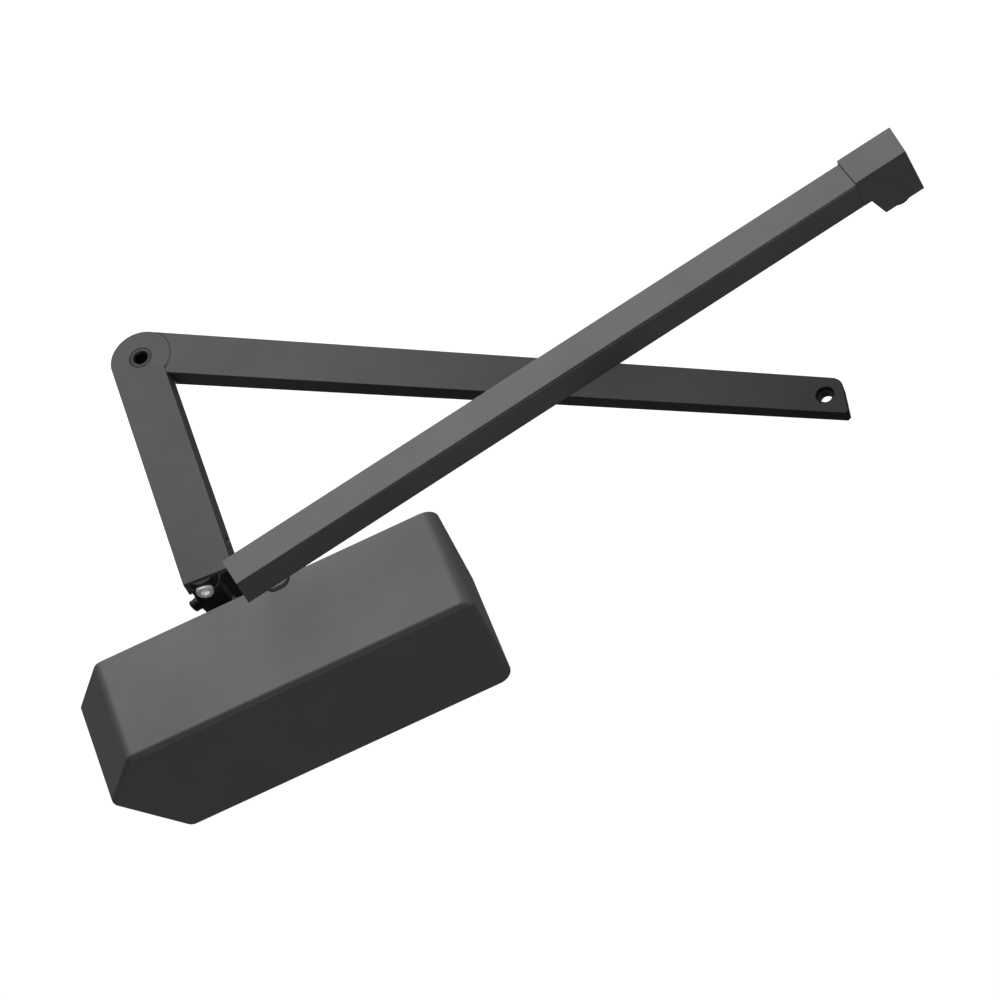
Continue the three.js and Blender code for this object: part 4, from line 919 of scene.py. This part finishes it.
def build_spindle():
    low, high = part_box("spindle_pinion")
    radius, groove = 7 * MM, 0.7 * MM
    hex_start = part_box("arm_hub")[0].z - 4 * MM
    neck = radius - groove
    end = hex_start + 0.4 * MM
    shaft = lathe([
        (0, low.z), (radius - MM, low.z), (radius, low.z + MM), (radius, hex_start - 2 * MM),
        (neck, hex_start - 1.6 * MM), (neck, end), (0, end)])
    square = crowned(polygon_loop(radius, 6), hex_start, high.z, 0.8 * MM, 2)
    pitch, teeth, half_face = 11.8 * MM, 12, 12 * MM
    module = 2 * pitch / teeth
    flank = [(pitch - module, 9.6), (pitch * 0.94, 8.7), (pitch, 6.9), (pitch + module * 0.72, 3.9)]
    points = []
    for tooth in range(teeth):
        middle = -90 + tooth * 360 / teeth
        rising = [(at, math.radians(middle - half)) for at, half in flank]
        falling = [(at, math.radians(middle + half)) for at, half in reversed(flank)]
        points += [Vector((at * math.cos(turn), at * math.sin(turn))) for at, turn in rising + falling]
    gear = prism(points, -half_face, half_face)
    spindle = upright(join(shaft, square, gear), joint_point("spindle_swing"))
    piece_for("spindle_pinion", spindle, "bright_steel", edge=0)


def build_retainer():
    """The octagonal nut over the bearing, and the cap under it."""
    spindle = joint_point("spindle_swing")
    low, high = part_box("bearing_retainer")
    flange, bore, dish_floor = high.z - 5.7 * MM, 7.3 * MM, high.z - 1.2 * MM
    collar = lathe([(bore, low.z), (10.6 * MM, low.z), (10.8 * MM, flange + OVER), (bore, flange + OVER)])
    head = crowned(polygon_loop(13.9 * MM, 8), flange, high.z, 1.1 * MM, 1)
    head = cut(head, cylinder(bore, flange - OVER, high.z + OVER))
    dish = lathe([(0, dish_floor), (9.4 * MM, dish_floor), (9.9 * MM, high.z + OVER), (0, high.z + OVER)])
    retainer = upright(cut(join(head, collar), dish), spindle)
    piece_for("bearing_retainer", retainer, "dark_steel", edge=0.2 * MM)
    low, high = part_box("bottom_cap")
    radius, inner, floor, centre, chamfer = (high.x - low.x) / 2, 11.1 * MM, -22.6 * MM, 0.001 * MM, 0.8 * MM
    cap = lathe([(inner, high.z), (inner, floor), (centre, floor), (centre, low.z),
                 (radius - chamfer, low.z), (radius, low.z + chamfer), (radius, high.z)])
    slots = [upright(cylinder(1.6 * MM, low.z - OVER, low.z + 3 * MM, 24), Vector((side * 8 * MM, 0)))
             for side in (-1, 1)]
    piece_for("bottom_cap", upright(cut(cap, *slots), spindle), "dark_steel", edge=0.2 * MM)


def build_valves():
    groove, groove_start, groove_end, half_slot, slot_deep = 0.9 * MM, 11 * MM, 12.6 * MM, 0.6 * MM, 1.4 * MM
    for node in VALVES:
        start, long, radius = span(node, -ALONG)
        body = lathe([
            (0, 0), (radius - 1.4 * MM, 0), (radius, 2 * MM), (radius, groove_start),
            (radius - groove, groove_start), (radius - groove, groove_end), (radius, groove_end),
            (radius, long - 2 * MM), (radius - 0.8 * MM, long), (0, long)], SCREW_SIDES)
        slot = box((-2 * radius, -half_slot, long - slot_deep), (2 * radius, half_slot, long + OVER))
        piece_for(node, moved(cut(body, slot), place(start, -ALONG)), "bronze", edge=0.12 * MM)


def build_fixing_screws():
    for number in range(1, 5):
        screw_piece(f"mounting_screw_{number}", (0, -1, 0), "zinc", 3 * MM, 4 * MM)
    for number in (1, 2):
        screw_piece(f"cover_screw_{number}", (0, 0, -1), "dark_steel", 2.4 * MM, 2.6 * MM)
        screw_piece(f"bracket_screw_{number}", UP, "zinc", 3 * MM, 3.6 * MM)


# ------------------------------------------------------------------ arms
def arm_frames():
    """Places of the main arm and the forearm, and their lengths."""
    ends = [joint_point("spindle_swing"), joint_point("elbow_swing"), box_middle("forearm_end_bush")]
    for point in ends:
        point.z = 0
    return [(Matrix.Translation(a) @ Matrix.Rotation(flat_heading(a, b), 4, "Z"), (b - a).length)
            for a, b in zip(ends, ends[1:])]


def channel_loop(size, long, inner, outer, start, end):
    """The straight flanks of the main arm, moved inwards, between two places along it."""
    def flank(at_hub, at_elbow, x):
        return at_hub + (at_elbow - at_hub) * (x + size.overhang) / (long + size.overhang)
    near = [Vector((x, inner - flank(size.hub_right, size.elbow_right, x))) for x in (start, end)]
    return near + [Vector((x, flank(size.hub_left, size.elbow, x) - outer)) for x in (end, start)]


def lean_cutter(size, long, low, high, grow=0.0):
    """The wedge that makes the main arm's inner side lean, from beyond its open end to its round head."""
    end = long - size.elbow * math.cos(math.asin(size.elbow_right / size.elbow))
    foot = channel_loop(size, long, -grow, 0, -size.overhang - 16 * MM, end)[:2]
    along = (foot[1] - foot[0]).normalized()
    inwards = Vector((-along.y, along.x))
    crest = high + OVER
    top_in, out = size.lean / size.depth * (crest - low), -6 * MM
    rings = []
    for point in foot:
        here, there = point + inwards * out, point + inwards * top_in
        corners = ((here, low), (point, low), (there, crest), (here, crest))
        rings.append([Vector((*corner, z)) for corner, z in corners])
    return loft(rings)


def pin_hole(at):
    """The hole for the hub's cross pin, in the main arm's own axes."""
    pin = at.inverted() @ box_middle("hub_cross_pin")
    return moved(cylinder(2.7 * MM, -60 * MM, 60 * MM, HOLE_SIDES), place((pin.x, 0, pin.z), (0, 1, 0)))


def build_main_arm():
    size = settings().arm
    (at, long), _ = arm_frames()
    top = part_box("main_arm")[1].z
    low = top - size.depth
    spare, head_seat = 12 * MM, 3.8 * MM
    open_end = -size.overhang - spare
    flanks = channel_loop(size, long, 0, 0, open_end, long)
    meet = math.degrees(math.asin(size.elbow_right / size.elbow))
    outline = [flanks[0], *arc((long, 0), size.elbow, meet - 180, 90, FINE_SIDES), flanks[3]]
    body = crowned(outline, low, top, size.edge, 6)
    hollow = channel_loop(size, long, size.inner_flange, size.flange, open_end, long - size.elbow - 4 * MM)
    elbow = Vector((long, 0))
    tools = [
        box((open_end - spare, -0.1, low - OVER), (-size.overhang, 0.1, top + OVER)),
        prism(hollow, low - OVER, top - size.plate),
        upright(cylinder(size.elbow + 0.8 * MM, low - OVER, top - size.lap, FINE_SIDES), elbow),
        upright(cylinder(size.bolt + GAP, low, top + OVER, BOLT_SIDES), elbow),
        upright(cylinder(size.bolt_head + GAP, top - head_seat, top + OVER, BOLT_SIDES), elbow),
        lean_cutter(size, long, low, top),
        pin_hole(at),
    ]
    made = moved(cut(body, *tools), at)
    piece_for("main_arm", made, "black_paint", arm_material(), edge=0.25 * MM, limit=50)


def build_hub():
    arm, size = settings().arm, settings().hub
    (at, long), _ = arm_frames()
    low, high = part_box("arm_hub")
    top, bottom, chamfer = high.z, low.z, size.chamfer
    collar_top = top - arm.depth + arm.plate + GAP - size.collar_gap
    barrel = rod(size.radius, bottom, top, foot=chamfer, sides=FINE_SIDES)
    collar = rod(size.collar, bottom, collar_top, foot=chamfer, head=chamfer, sides=FINE_SIDES)
    flanks = channel_loop(arm, long, arm.inner_flange + GAP, arm.flange + GAP, 0, size.tongue)
    tongue = prism(flanks, top - size.tongue_depth, top)
    turn = at.inverted().to_3x3()
    screws = ("hub_set_screw", "hub_side_screw")
    set_axis, side_axis = [(turn @ screw_axis(node)).normalized() for node in screws]
    set_seat, side_seat = [Vector((0, 0, box_middle(node).z)) for node in screws]
    boss = moved(cylinder(size.side_boss, 0, size.side_reach, SCREW_SIDES), place(side_seat, side_axis))
    grip, reach = 7.3 * MM, 30 * MM
    unturned = Matrix.Rotation(-at.to_euler().z, 4, "Z")
    tools = [
        moved(prism(polygon_loop(grip, 6), bottom - OVER, top - 5 * MM), unturned),
        moved(cylinder(grip, 7 * MM, reach, SCREW_SIDES), place(set_seat, set_axis)),
        moved(cylinder(2.5 * MM, 8 * MM, reach, HOLE_SIDES), place(side_seat, side_axis)),
        pin_hole(at),
    ]
    hub = cut(join(barrel, collar, tongue, boss), *tools)
    piece_for("arm_hub", moved(hub, at), "dark_steel", edge=0.3 * MM)


def build_hub_screws():
    axis = screw_axis("hub_set_screw")
    start, deep, radius = span("hub_set_screw", axis)
    rim, lip = 0.9 * MM, 0.7 * MM
    cup = lathe([
        (0, 0), (radius - 1.5 * MM, 0), (radius, 1.5 * MM), (radius, deep - rim), (radius - rim, deep),
        (radius * 0.66, deep), (radius * 0.6, deep - lip), (0, deep - lip)], BOLT_SIDES)
    cup = cut(cup, prism(polygon_loop(radius * 0.55, 6, 0.35), deep - 3.6 * MM, deep + OVER))
    piece_for("hub_set_screw", moved(cup, place(start, axis)), "zinc", edge=0.15 * MM)
    screw_piece("hub_side_screw", screw_axis("hub_side_screw"), "dark_steel", 2.2 * MM, 3.4 * MM)
    heading = arm_frames()[0][0].to_euler().z
    side = Vector((-math.sin(heading), math.cos(heading), 0))
    start, deep, radius = span("hub_cross_pin", side)
    pin = rod(radius, 0, deep, foot=0.5 * MM, head=0.5 * MM, sides=PLATE_SIDES)
    piece_for("hub_cross_pin", moved(pin, place(start, side)), "dark_steel", edge=0)


def screw_axis(node):
    """The level direction in which a hub screw points, away from the spindle."""
    away = box_middle(node) - joint_point("spindle_swing")
    return Vector((away.x, away.y, 0)).normalized()


def forearm_outline(size, long):
    """The forearm from above: round at the elbow, cut slantwise at its tip."""
    inner = math.degrees(math.asin(size.fore_inner / size.elbow))
    lean = math.atan2(size.tip_long - size.tip_short, 2 * size.tip_half)
    nib_x, short_x = long + size.tip_long, long + size.tip_short
    last = [
        Vector((nib_x - size.nib, -size.tip_half)),
        Vector((nib_x - size.nib * math.sin(lean), -size.tip_half + size.nib * math.cos(lean))),
    ]
    corner = size.tip_corner
    start = Vector((short_x + corner * math.sin(lean), size.tip_half - corner * math.cos(lean)))
    middle = Vector((short_x, size.tip_half))
    end = Vector((short_x - corner, size.tip_half + 0.1 * MM))
    steps = 8
    for step in range(steps + 1):
        t = step / steps
        last.append(start * (1 - t) ** 2 + middle * 2 * t * (1 - t) + end * t ** 2)
    return [*arc((0, 0), size.elbow, 90, 360 - inner, FINE_SIDES), *last]


def build_forearm():
    size = settings().arm
    (main_at, main_long), (at, long) = arm_frames()
    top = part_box("forearm")[1].z
    deep, shallow, wall = top - size.fore_depth, top - size.tip_depth, size.fore_wall

    def floor(point):
        return deep + (shallow - deep) * max(0.0, point.x) / long

    body = crowned(forearm_outline(size, long), floor, top, size.edge, 4)
    pocket_start, pocket_end = size.elbow + 16 * MM, long - 22 * MM
    pocket = prism([
        Vector((pocket_start, -size.fore_inner + wall)),
        Vector((pocket_end, -size.tip_half + wall + 0.4 * MM)),
        Vector((pocket_end, size.tip_half - wall)),
        Vector((pocket_start, size.elbow - wall - 1.4 * MM)),
    ], deep - OVER, top - wall)
    flanks = channel_loop(size, main_long, -GAP, -GAP, -size.overhang - 2 * MM, main_long - 8 * MM)
    main_low = top - size.depth
    beside = cut(prism(flanks, main_low - OVER, top + OVER),
                 lean_cutter(size, main_long, main_low, top + 2 * MM, GAP))
    beside = cut(moved(beside, at.inverted() @ main_at),
                 cylinder(size.elbow + 0.01 * MM, deep - 14 * MM, top + 2 * MM, FINE_SIDES))
    bush_low, bush_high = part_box("forearm_end_bush")
    hole = (bush_high.x - bush_low.x) / 2 + GAP
    mouth = hole + 1.5 * MM
    sink = lathe([(0, deep - OVER), (hole, deep - OVER), (hole, top - 2.3 * MM), (mouth, top + 0.2 * MM),
                  (mouth, top + OVER), (0, top + OVER)], BOLT_SIDES)
    tools = [
        pocket, beside,
        cylinder(size.elbow + size.seam, top - size.lap - GAP, top + OVER, FINE_SIDES),
        cylinder(8.6 * MM, deep - OVER, top, BOLT_SIDES),
        upright(sink, Vector((long, 0))),
    ]
    made = moved(cut(body, *tools), at)
    piece_for("forearm", made, "black_paint", forearm_material(), edge=0.25 * MM, limit=50)


def build_elbow():
    """The hollow bolt, its bush, washer and nut, and the bush in the forearm's end."""
    size = settings().arm
    shank, bore = size.bolt, size.bolt_bore
    start, long, head = span("elbow_bolt", UP)
    rim, soft, mouth = long - 3.2 * MM, 0.3 * MM, 1.9 * MM
    body = lathe([
        (bore, 0), (shank - 0.8 * MM, 0), (shank, 0.8 * MM), (shank, rim), (head - 0.2 * MM, rim),
        (head, rim + 0.2 * MM), (head, long - soft), (head - soft, long), (bore + mouth, long),
        (bore + 1.5 * MM, long - soft), (bore, long - mouth)])
    piece_for("elbow_bolt", moved(body, place(start)), "dark_steel", edge=0)
    # the forearm's end bush is coated blackened steel instead of its zinc slot: painted shade, so that the
    # end hole shows dark
    for node, slot, coat in (("elbow_bush", "bronze", "bronze"), ("elbow_washer", "zinc", "zinc"),
                             ("forearm_end_bush", "zinc", "dark_steel")):
        start, long, outer = span(node, UP)
        inner = outer - 0.8 * MM if node == "forearm_end_bush" else shank + GAP
        ring = lathe([(inner, soft), (inner + soft, 0), (outer - soft, 0), (outer, soft),
                      (outer, long - soft), (outer - soft, long), (inner + soft, long), (inner, long - soft)])
        piece_for(node, moved(ring, place(start)), slot, finish_for(coat), edge=0)
    start, long, corner = span("elbow_nut", UP)
    nut = crowned(polygon_loop(corner, 6), 0, long, 0.8 * MM, 1)
    nut = cut(nut, cylinder(shank + GAP, -OVER, long + OVER, SCREW_SIDES))
    piece_for("elbow_nut", moved(nut, place(start)), "zinc", edge=0.25 * MM)


# ------------------------------------------------------------------ stay rail
def rail_frame():
    """The rail's place, with +X along it from its pivot."""
    pivot = joint_point("rail_swing")
    foot = joint_point("foot_swivel")
    pivot.z = foot.z = 0
    return Matrix.Translation(pivot) @ Matrix.Rotation(flat_heading(pivot, foot), 4, "Z")


def along_rail(node):
    """A node's lowest and highest corner in the rail's own axes."""
    turned = rail_frame().inverted()
    points = [turned @ v.co for v in frame["nodes"][node].data.vertices]
    return [Vector([pick(p[i] for p in points) for i in range(3)]) for pick in (min, max)]


def rail_hole(node, radius):
    """A hole across the rail at a node's middle, open on its far side."""
    low, high = along_rail(node)
    middle = (low + high) / 2
    across = settings().rail.width
    return moved(cylinder(radius, 0, across, HOLE_SIDES), place((middle.x, 0, middle.z), (0, 1, 0)))


def build_rail():
    size = settings().rail
    low, high = along_rail("slide_rail")
    half, bottom, top = size.width / 2, low.z, high.z
    inner, slot, lip, roof = half - size.wall, size.slot / 2, bottom + size.lip, top - size.roof
    groove_top = top - size.corner - 0.3 * MM
    groove_low, groove_in = groove_top - size.groove, half - size.groove_depth
    corner = size.corner
    hollow = [(-slot, bottom, 0.3), (-slot, lip, 0.3), (-inner, lip, 0.4), (-inner, roof, 0.5)]
    side = [(half, bottom, corner / MM), (half, groove_low, 0.15), (groove_in, groove_low, 0),
            (groove_in, groove_top, 0), (half, groove_top, 0.15), (half, top, corner / MM)]
    half_section = [*[(-x, z, radius) for x, z, radius in reversed(hollow)], *side]
    section = [*hollow, *half_section, *[(-x, z, radius) for x, z, radius in reversed(side)]]
    outline = rounded_loop([(x, z) for x, z, _ in section], [radius * MM for _, _, radius in section], 5)
    body = bar_along_x(outline, low.x, high.x)
    holes = [rail_hole(f"end_block_screw_{number}", size.screw_hole) for number in (1, 2)]
    piece_for("slide_rail", moved(cut(body, *holes), rail_frame()), "black_paint", edge=0)


def filling(low, high):
    """A length of the shape that fills the rail's hollow and slot."""
    size = settings().rail
    inner, slot = size.width / 2 - size.wall - GAP, size.slot / 2 - GAP
    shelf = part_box("slide_rail")[0].z + size.lip + GAP
    corners = [(-slot, low.z), (slot, low.z), (slot, shelf), (inner, shelf),
               (inner, high.z), (-inner, high.z), (-inner, shelf), (-slot, shelf)]
    section = rounded_loop(corners, [radius * MM for radius in (0.5, 0.5, 0, 0.5, 0.9, 0.9, 0.5, 0)], 4)
    return bar_along_x(section, low.x, high.x)


def build_rail_fittings():
    for node, slot in (("rail_end_plug", "nylon"), ("stop_buffer", "rubber"), ("stop_clamp", "bright_steel")):
        piece_for(node, moved(filling(*along_rail(node)), rail_frame()), slot, edge=0.3 * MM)
    screw_piece("stop_clamp_screw", (0, 0, -1), "zinc", 2.5 * MM, 2.8 * MM, "hex")
    low, high = along_rail("slide_shoe")
    size = settings().rail
    half = size.width / 2 - size.wall - 2 * GAP
    shoe_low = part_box("slide_rail")[0].z + size.lip + GAP
    corners = [(low.x, -half), (high.x, -half), (high.x, half), (low.x, half)]
    shoe = crowned(rounded_loop(corners, [3 * MM] * 4), shoe_low, high.z, MM, 3)
    neck = cylinder(size.slot / 2 - 0.5 * MM, low.z, shoe_low + OVER, SCREW_SIDES)
    hole = cylinder(size.pin_hole, low.z - OVER, high.z - 2.5 * MM, PLATE_SIDES)
    piece_for("slide_shoe", moved(cut(join(shoe, neck), hole), rail_frame()), "nylon", edge=0.3 * MM)


def build_end_block():
    size = settings().rail
    low, high = along_rail("end_block")
    bottom, top = low.z, high.z
    rail_low, rail_high = along_rail("slide_rail")
    near, far, spare = low.x + size.block_tongue, 60 * MM, 8 * MM
    end = near + size.block_length + size.block_lean + spare
    outline = [(near, rail_low.z), (near + size.block_step, rail_low.z), (near + size.block_foot, bottom),
               (end, bottom), (end, top), (near, top)]
    loop = rounded_loop(outline, [0, 1.6 * MM, 1.2 * MM, 0, 0, 0.4 * MM], 5)
    body = loft([[Vector((p.x, y, p.y)) for p in loop] for y in (-size.width / 2, high.y)])
    tongue_low = Vector((low.x, 0, rail_low.z + 2 * GAP))
    tongue = filling(tongue_low, Vector((near + OVER, 0, rail_high.z - size.roof - GAP)))
    slant = math.atan2(size.block_lean, top - bottom)
    beyond = moved(
        box((0, -far, -2 * far), (far, far, 2 * MM)),
        Matrix.Translation((near + size.block_length, 0, top)) @ Matrix.Rotation(-size.block_skew, 4, "Z")
        @ Matrix.Rotation(-slant, 4, "Y"))
    stud_low, stud_high = along_rail("frame_swivel")
    stud = moved(cylinder(size.pin_hole, bottom - OVER, stud_high.z + OVER, PLATE_SIDES),
                 Matrix.Translation(((stud_low.x + stud_high.x) / 2, 0, 0)))
    tools = [
        beyond, stud, *[rail_hole(f"end_block_screw_{number}", size.screw_hole) for number in (1, 2)],
        rail_hole("swivel_grub_screw", 2.8 * MM)]
    block = cut(join(body, tongue), *tools)
    piece_for("end_block", moved(block, rail_frame()), "black_paint", edge=size.block_edge, segments=3)


def build_end_block_fittings():
    side = rail_frame().to_3x3() @ Vector((0, 1, 0))
    for number in (1, 2):
        screw_piece(f"end_block_screw_{number}", side, "dark_steel", 1.9 * MM, 1.9 * MM, "hex")
    start, long, radius = span("swivel_grub_screw", side)
    soft = 0.4 * MM
    grub = lathe([(0, 0), (1.6 * MM, 0), (radius, 0.9 * MM), (radius, long - soft),
                  (radius - soft, long), (0, long)], PLATE_SIDES)
    grub = cut(grub, prism(polygon_loop(1.3 * MM, 6), long - 2.4 * MM, long + OVER))
    piece_for("swivel_grub_screw", moved(grub, place(start, side)), "dark_steel", edge=0)
    start, long, radius = span("frame_swivel", UP)
    plate, stud, neck, edge, tip = 4 * MM, 4 * MM, 2.8 * MM, 0.8 * MM, 0.6 * MM
    neck_low, neck_high = plate + 7.3 * MM, plate + 13.3 * MM
    foot = lathe([
        (0, 0), (radius - edge, 0), (radius, edge), (radius, plate - edge), (radius - edge, plate),
        (stud, plate), (stud, neck_low), (neck, neck_low), (neck, neck_high), (stud, neck_high),
        (stud, long - tip), (stud - tip, long), (0, long)])
    piece_for("frame_swivel", moved(foot, place(start)), "dark_steel", edge=0)


def build_bracket():
    size = settings().rail
    low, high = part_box("rail_bracket")
    pivot = joint_point("rail_swing")
    sheet, half = size.bracket_sheet, size.bracket_width / 2
    leg, foot = -36 * MM, -46 * MM
    base, crown = low.z + sheet, high.z - sheet
    corners = [
        (foot, low.z), (high.y, low.z), (high.y, base), (leg + sheet, base), (leg + sheet, high.z),
        (low.y, high.z), (low.y, crown), (leg, crown), (leg, base), (foot, base)]
    section = rounded_loop(corners, [radius * MM for radius in (1, 1, 1, 3, 6, 2, 2, 3, 3, 1)], 6)
    strip = bar_along_x(section, pivot.x - half, pivot.x + half)
    nose = cut(box((-half - OVER, -half - OVER, crown - OVER), (half + OVER, 0, high.z + OVER)),
               cylinder(half, crown - 2 * OVER, high.z + 2 * OVER, BOLT_SIDES))
    tools = [
        upright(nose, pivot),
        upright(cylinder(size.pin_hole, crown - OVER, high.z + OVER, PLATE_SIDES), pivot)]
    for number in (1, 2):
        hole = cylinder(settings().body.screw_hole, low.z - OVER, base + OVER, PLATE_SIDES)
        tools.append(upright(hole, box_middle(f"bracket_screw_{number}")))
    piece_for("rail_bracket", cut(strip, *tools), "black_paint", edge=0.5 * MM)
    start, long, head = span("shoe_pin", UP)
    hexagon = crowned(polygon_loop(head, 6), 0, 3.4 * MM, 0.5 * MM, 1)
    pin = rod(4 * MM, 2.6 * MM, long, head=0.8 * MM, sides=SCREW_SIDES)
    piece_for("shoe_pin", moved(join(hexagon, pin), place(start)), "zinc", edge=0.2 * MM)


# ------------------------------------------------------------------ stage
def seen_or_not(tree, unseen, seen, output):
    """Shows one shader to the camera and another to the lit objects."""
    choice = tree.nodes.new("ShaderNodeMixShader")
    tree.links.new(add_node(tree, "ShaderNodeLightPath").outputs["Is Camera Ray"], choice.inputs[0])
    tree.links.new(unseen.outputs[0], choice.inputs[1])
    tree.links.new(seen.outputs[0], choice.inputs[2])
    tree.links.new(choice.outputs[0], tree.nodes[output].inputs["Surface"])


def floor_material():
    """A pale floor: bright to the eye, and dim to the object, so that its undersides stay dark."""
    material, tree, shader = blank_material("pale floor")
    texture = group_node(tree, "Grain", Scale=40.0, Cloud_scale=1.5)
    tone = shaded(tree, (0.42, 0.42, 0.42), 0.97, texture.outputs["Cloud"])
    tree.links.new(tone, shader.inputs["Base Color"])
    shader.inputs["Roughness"].default_value = 0.9
    shader.inputs["Specular IOR Level"].default_value = 0
    glow = add_node(tree, "ShaderNodeEmission", {"Color": (1, 1, 1, 1), "Strength": 0.72})
    both = tree.nodes.new("ShaderNodeAddShader")
    tree.links.new(shader.outputs[0], both.inputs[0])
    tree.links.new(glow.outputs[0], both.inputs[1])
    dim = add_node(tree, "ShaderNodeBsdfDiffuse", {"Color": (0.16, 0.16, 0.16, 1)})
    seen_or_not(tree, dim, both, "Material Output")
    return material


def add_area_light(name, power, side, location, target, shadow=True):
    light = bpy.data.lights.new(name, "AREA")
    light.use_shadow = shadow
    light.shape = "SQUARE"
    light.size = side
    light.energy = power
    made = bpy.data.objects.new(name, light)
    made.location = location
    made.rotation_euler = (Vector(target) - Vector(location)).to_track_quat("-Z", "Y").to_euler()
    bpy.context.scene.collection.objects.link(made)


def build_floor():
    size = settings().stage
    level_z = CAD_BOX[0].z - size.floor_gap
    half = size.floor_half
    bm = bmesh.new()
    corners = ((-half, -half), (half, -half), (half, half), (-half, half))
    bm.faces.new([bm.verts.new((x, y, level_z)) for x, y in corners])
    floor = new_object("floor", bm)
    floor.data.materials.append(floor_material())


def build_surroundings():
    world = bpy.data.worlds.new("studio")
    bpy.context.scene.world = world
    world.use_nodes = True
    tree = world.node_tree
    white = (1, 1, 1, 1)
    dim = tree.nodes["Background"]
    dim.inputs["Color"].default_value = white
    dim.inputs["Strength"].default_value = settings().stage.sky
    bright = add_node(tree, "ShaderNodeBackground", {"Color": white, "Strength": 1.0})
    seen_or_not(tree, dim, bright, "World Output")


def build_lights():
    """Two lights in one place behind, one of them without a shadow, and two weak low ones."""
    size = settings().stage
    middle = (CAD_BOX[0] + CAD_BOX[1]) / 2
    behind = middle + Vector((-0.1, 2.0, 1.6))
    add_area_light("key behind", size.key_power, 2.2, behind, middle)
    add_area_light("soft key behind", size.soft_power, 2.2, behind, middle, shadow=False)
    add_area_light("fill in front", size.fill_power, 1.5, middle + Vector((-0.7, -2.2, 0.3)), middle)
    add_area_light("low right", size.rim_power, 1.0, middle + Vector((2.2, -0.5, 0.2)), middle)


def build_camera():
    camera = bpy.data.objects.new("camera", bpy.data.cameras.new("camera"))
    bpy.context.scene.collection.objects.link(camera)
    right = Vector((0.907068, -0.321755, -0.271479))
    up = Vector((0.419596, 0.743288, 0.52102))
    back = Vector((0.034147, -0.586513, 0.80922))
    turn = Matrix((right, up, back)).transposed().to_4x4()
    camera.matrix_world = Matrix.Translation((0.30975, -1.9402, 2.67244)) @ turn
    camera.data.lens = settings().stage.lens
    camera.data.sensor_width = 36
    camera.data.clip_start = 0.1
    camera.data.clip_end = 60
    bpy.context.scene.camera = camera
    bpy.context.scene.view_settings.view_transform = "Standard"


# ------------------------------------------------------------------ operators
class BuildOperator:
    """What every operator of this add-on shares."""
    bl_options = {"REGISTER", "UNDO"}
    steps = ()

    def execute(self, context):
        for step in self.steps:
            step()
        return {"FINISHED"}


class CLOSER_OT_stage(BuildOperator, bpy.types.Operator):
    """Make the floor, the lights and the camera"""
    bl_idname = "closer.stage"
    bl_label = "Stage"
    steps = (build_floor, build_surroundings, build_lights, build_camera)


class CLOSER_OT_cover(BuildOperator, bpy.types.Operator):
    """Make the cover"""
    bl_idname = "closer.cover"
    bl_label = "Cover"
    steps = (build_cover,)


class CLOSER_OT_body(BuildOperator, bpy.types.Operator):
    """Make the back plate and the casting"""
    bl_idname = "closer.body"
    bl_label = "Plate and casting"
    steps = (build_plate, build_casting)


class CLOSER_OT_plugs(BuildOperator, bpy.types.Operator):
    """Make the end plugs, the adjuster and the valves"""
    bl_idname = "closer.plugs"
    bl_label = "Plugs and valves"
    steps = (build_plugs, build_adjuster, build_valves)


class CLOSER_OT_works(BuildOperator, bpy.types.Operator):
    """Finish the piston, spring, seals and bearings, and make the spindle"""
    bl_idname = "closer.works"
    bl_label = "Works"
    steps = (build_works, build_spindle, build_retainer)


class CLOSER_OT_screws(BuildOperator, bpy.types.Operator):
    """Make the screws of the plate, cover and bracket"""
    bl_idname = "closer.screws"
    bl_label = "Fixing screws"
    steps = (build_fixing_screws,)


class CLOSER_OT_main_arm(BuildOperator, bpy.types.Operator):
    """Make the main arm and its hub"""
    bl_idname = "closer.main_arm"
    bl_label = "Main arm"
    steps = (build_main_arm, build_hub, build_hub_screws)


class CLOSER_OT_forearm(BuildOperator, bpy.types.Operator):
    """Make the forearm and the elbow's hardware"""
    bl_idname = "closer.forearm"
    bl_label = "Forearm"
    steps = (build_forearm, build_elbow)


class CLOSER_OT_rail(BuildOperator, bpy.types.Operator):
    """Make the stay rail and what is in it"""
    bl_idname = "closer.rail"
    bl_label = "Stay rail"
    steps = (build_rail, build_rail_fittings)


class CLOSER_OT_end_block(BuildOperator, bpy.types.Operator):
    """Make the end block, its foot and its screws"""
    bl_idname = "closer.end_block"
    bl_label = "End block"
    steps = (build_end_block, build_end_block_fittings)


class CLOSER_OT_bracket(BuildOperator, bpy.types.Operator):
    """Make the rail's bracket and pin"""
    bl_idname = "closer.bracket"
    bl_label = "Bracket"
    steps = (build_bracket,)


OPERATORS = (
    CLOSER_OT_stage, CLOSER_OT_cover, CLOSER_OT_body, CLOSER_OT_plugs, CLOSER_OT_works, CLOSER_OT_screws,
    CLOSER_OT_main_arm, CLOSER_OT_forearm, CLOSER_OT_rail, CLOSER_OT_end_block, CLOSER_OT_bracket)


class CLOSER_PT_panel(bpy.types.Panel):
    """Sidebar panel with every building step"""
    bl_idname = "CLOSER_PT_panel"
    bl_label = "Door closer"
    bl_space_type = "VIEW_3D"
    bl_region_type = "UI"
    bl_category = "Door closer"

    def draw(self, context):
        for operator in OPERATORS:
            self.layout.operator(operator.bl_idname)


GROUPS_OF_SIZES = (
    CoverSizes, BodySizes, ArmSizes, HubSizes, RailSizes, Finishes, StageSizes, DoorCloserSettings)
CLASSES = (*GROUPS_OF_SIZES, *OPERATORS, CLOSER_PT_panel)


def register():
    for cls in CLASSES:
        bpy.utils.register_class(cls)
    bpy.types.Scene.door_closer = PointerProperty(type=DoorCloserSettings)


def unregister():
    del bpy.types.Scene.door_closer
    for cls in reversed(CLASSES):
        bpy.utils.unregister_class(cls)


def main():
    register()
    for operator in OPERATORS:
        getattr(bpy.ops.closer, operator.bl_idname.removeprefix("closer."))()


if __name__ == "__main__":
    main()
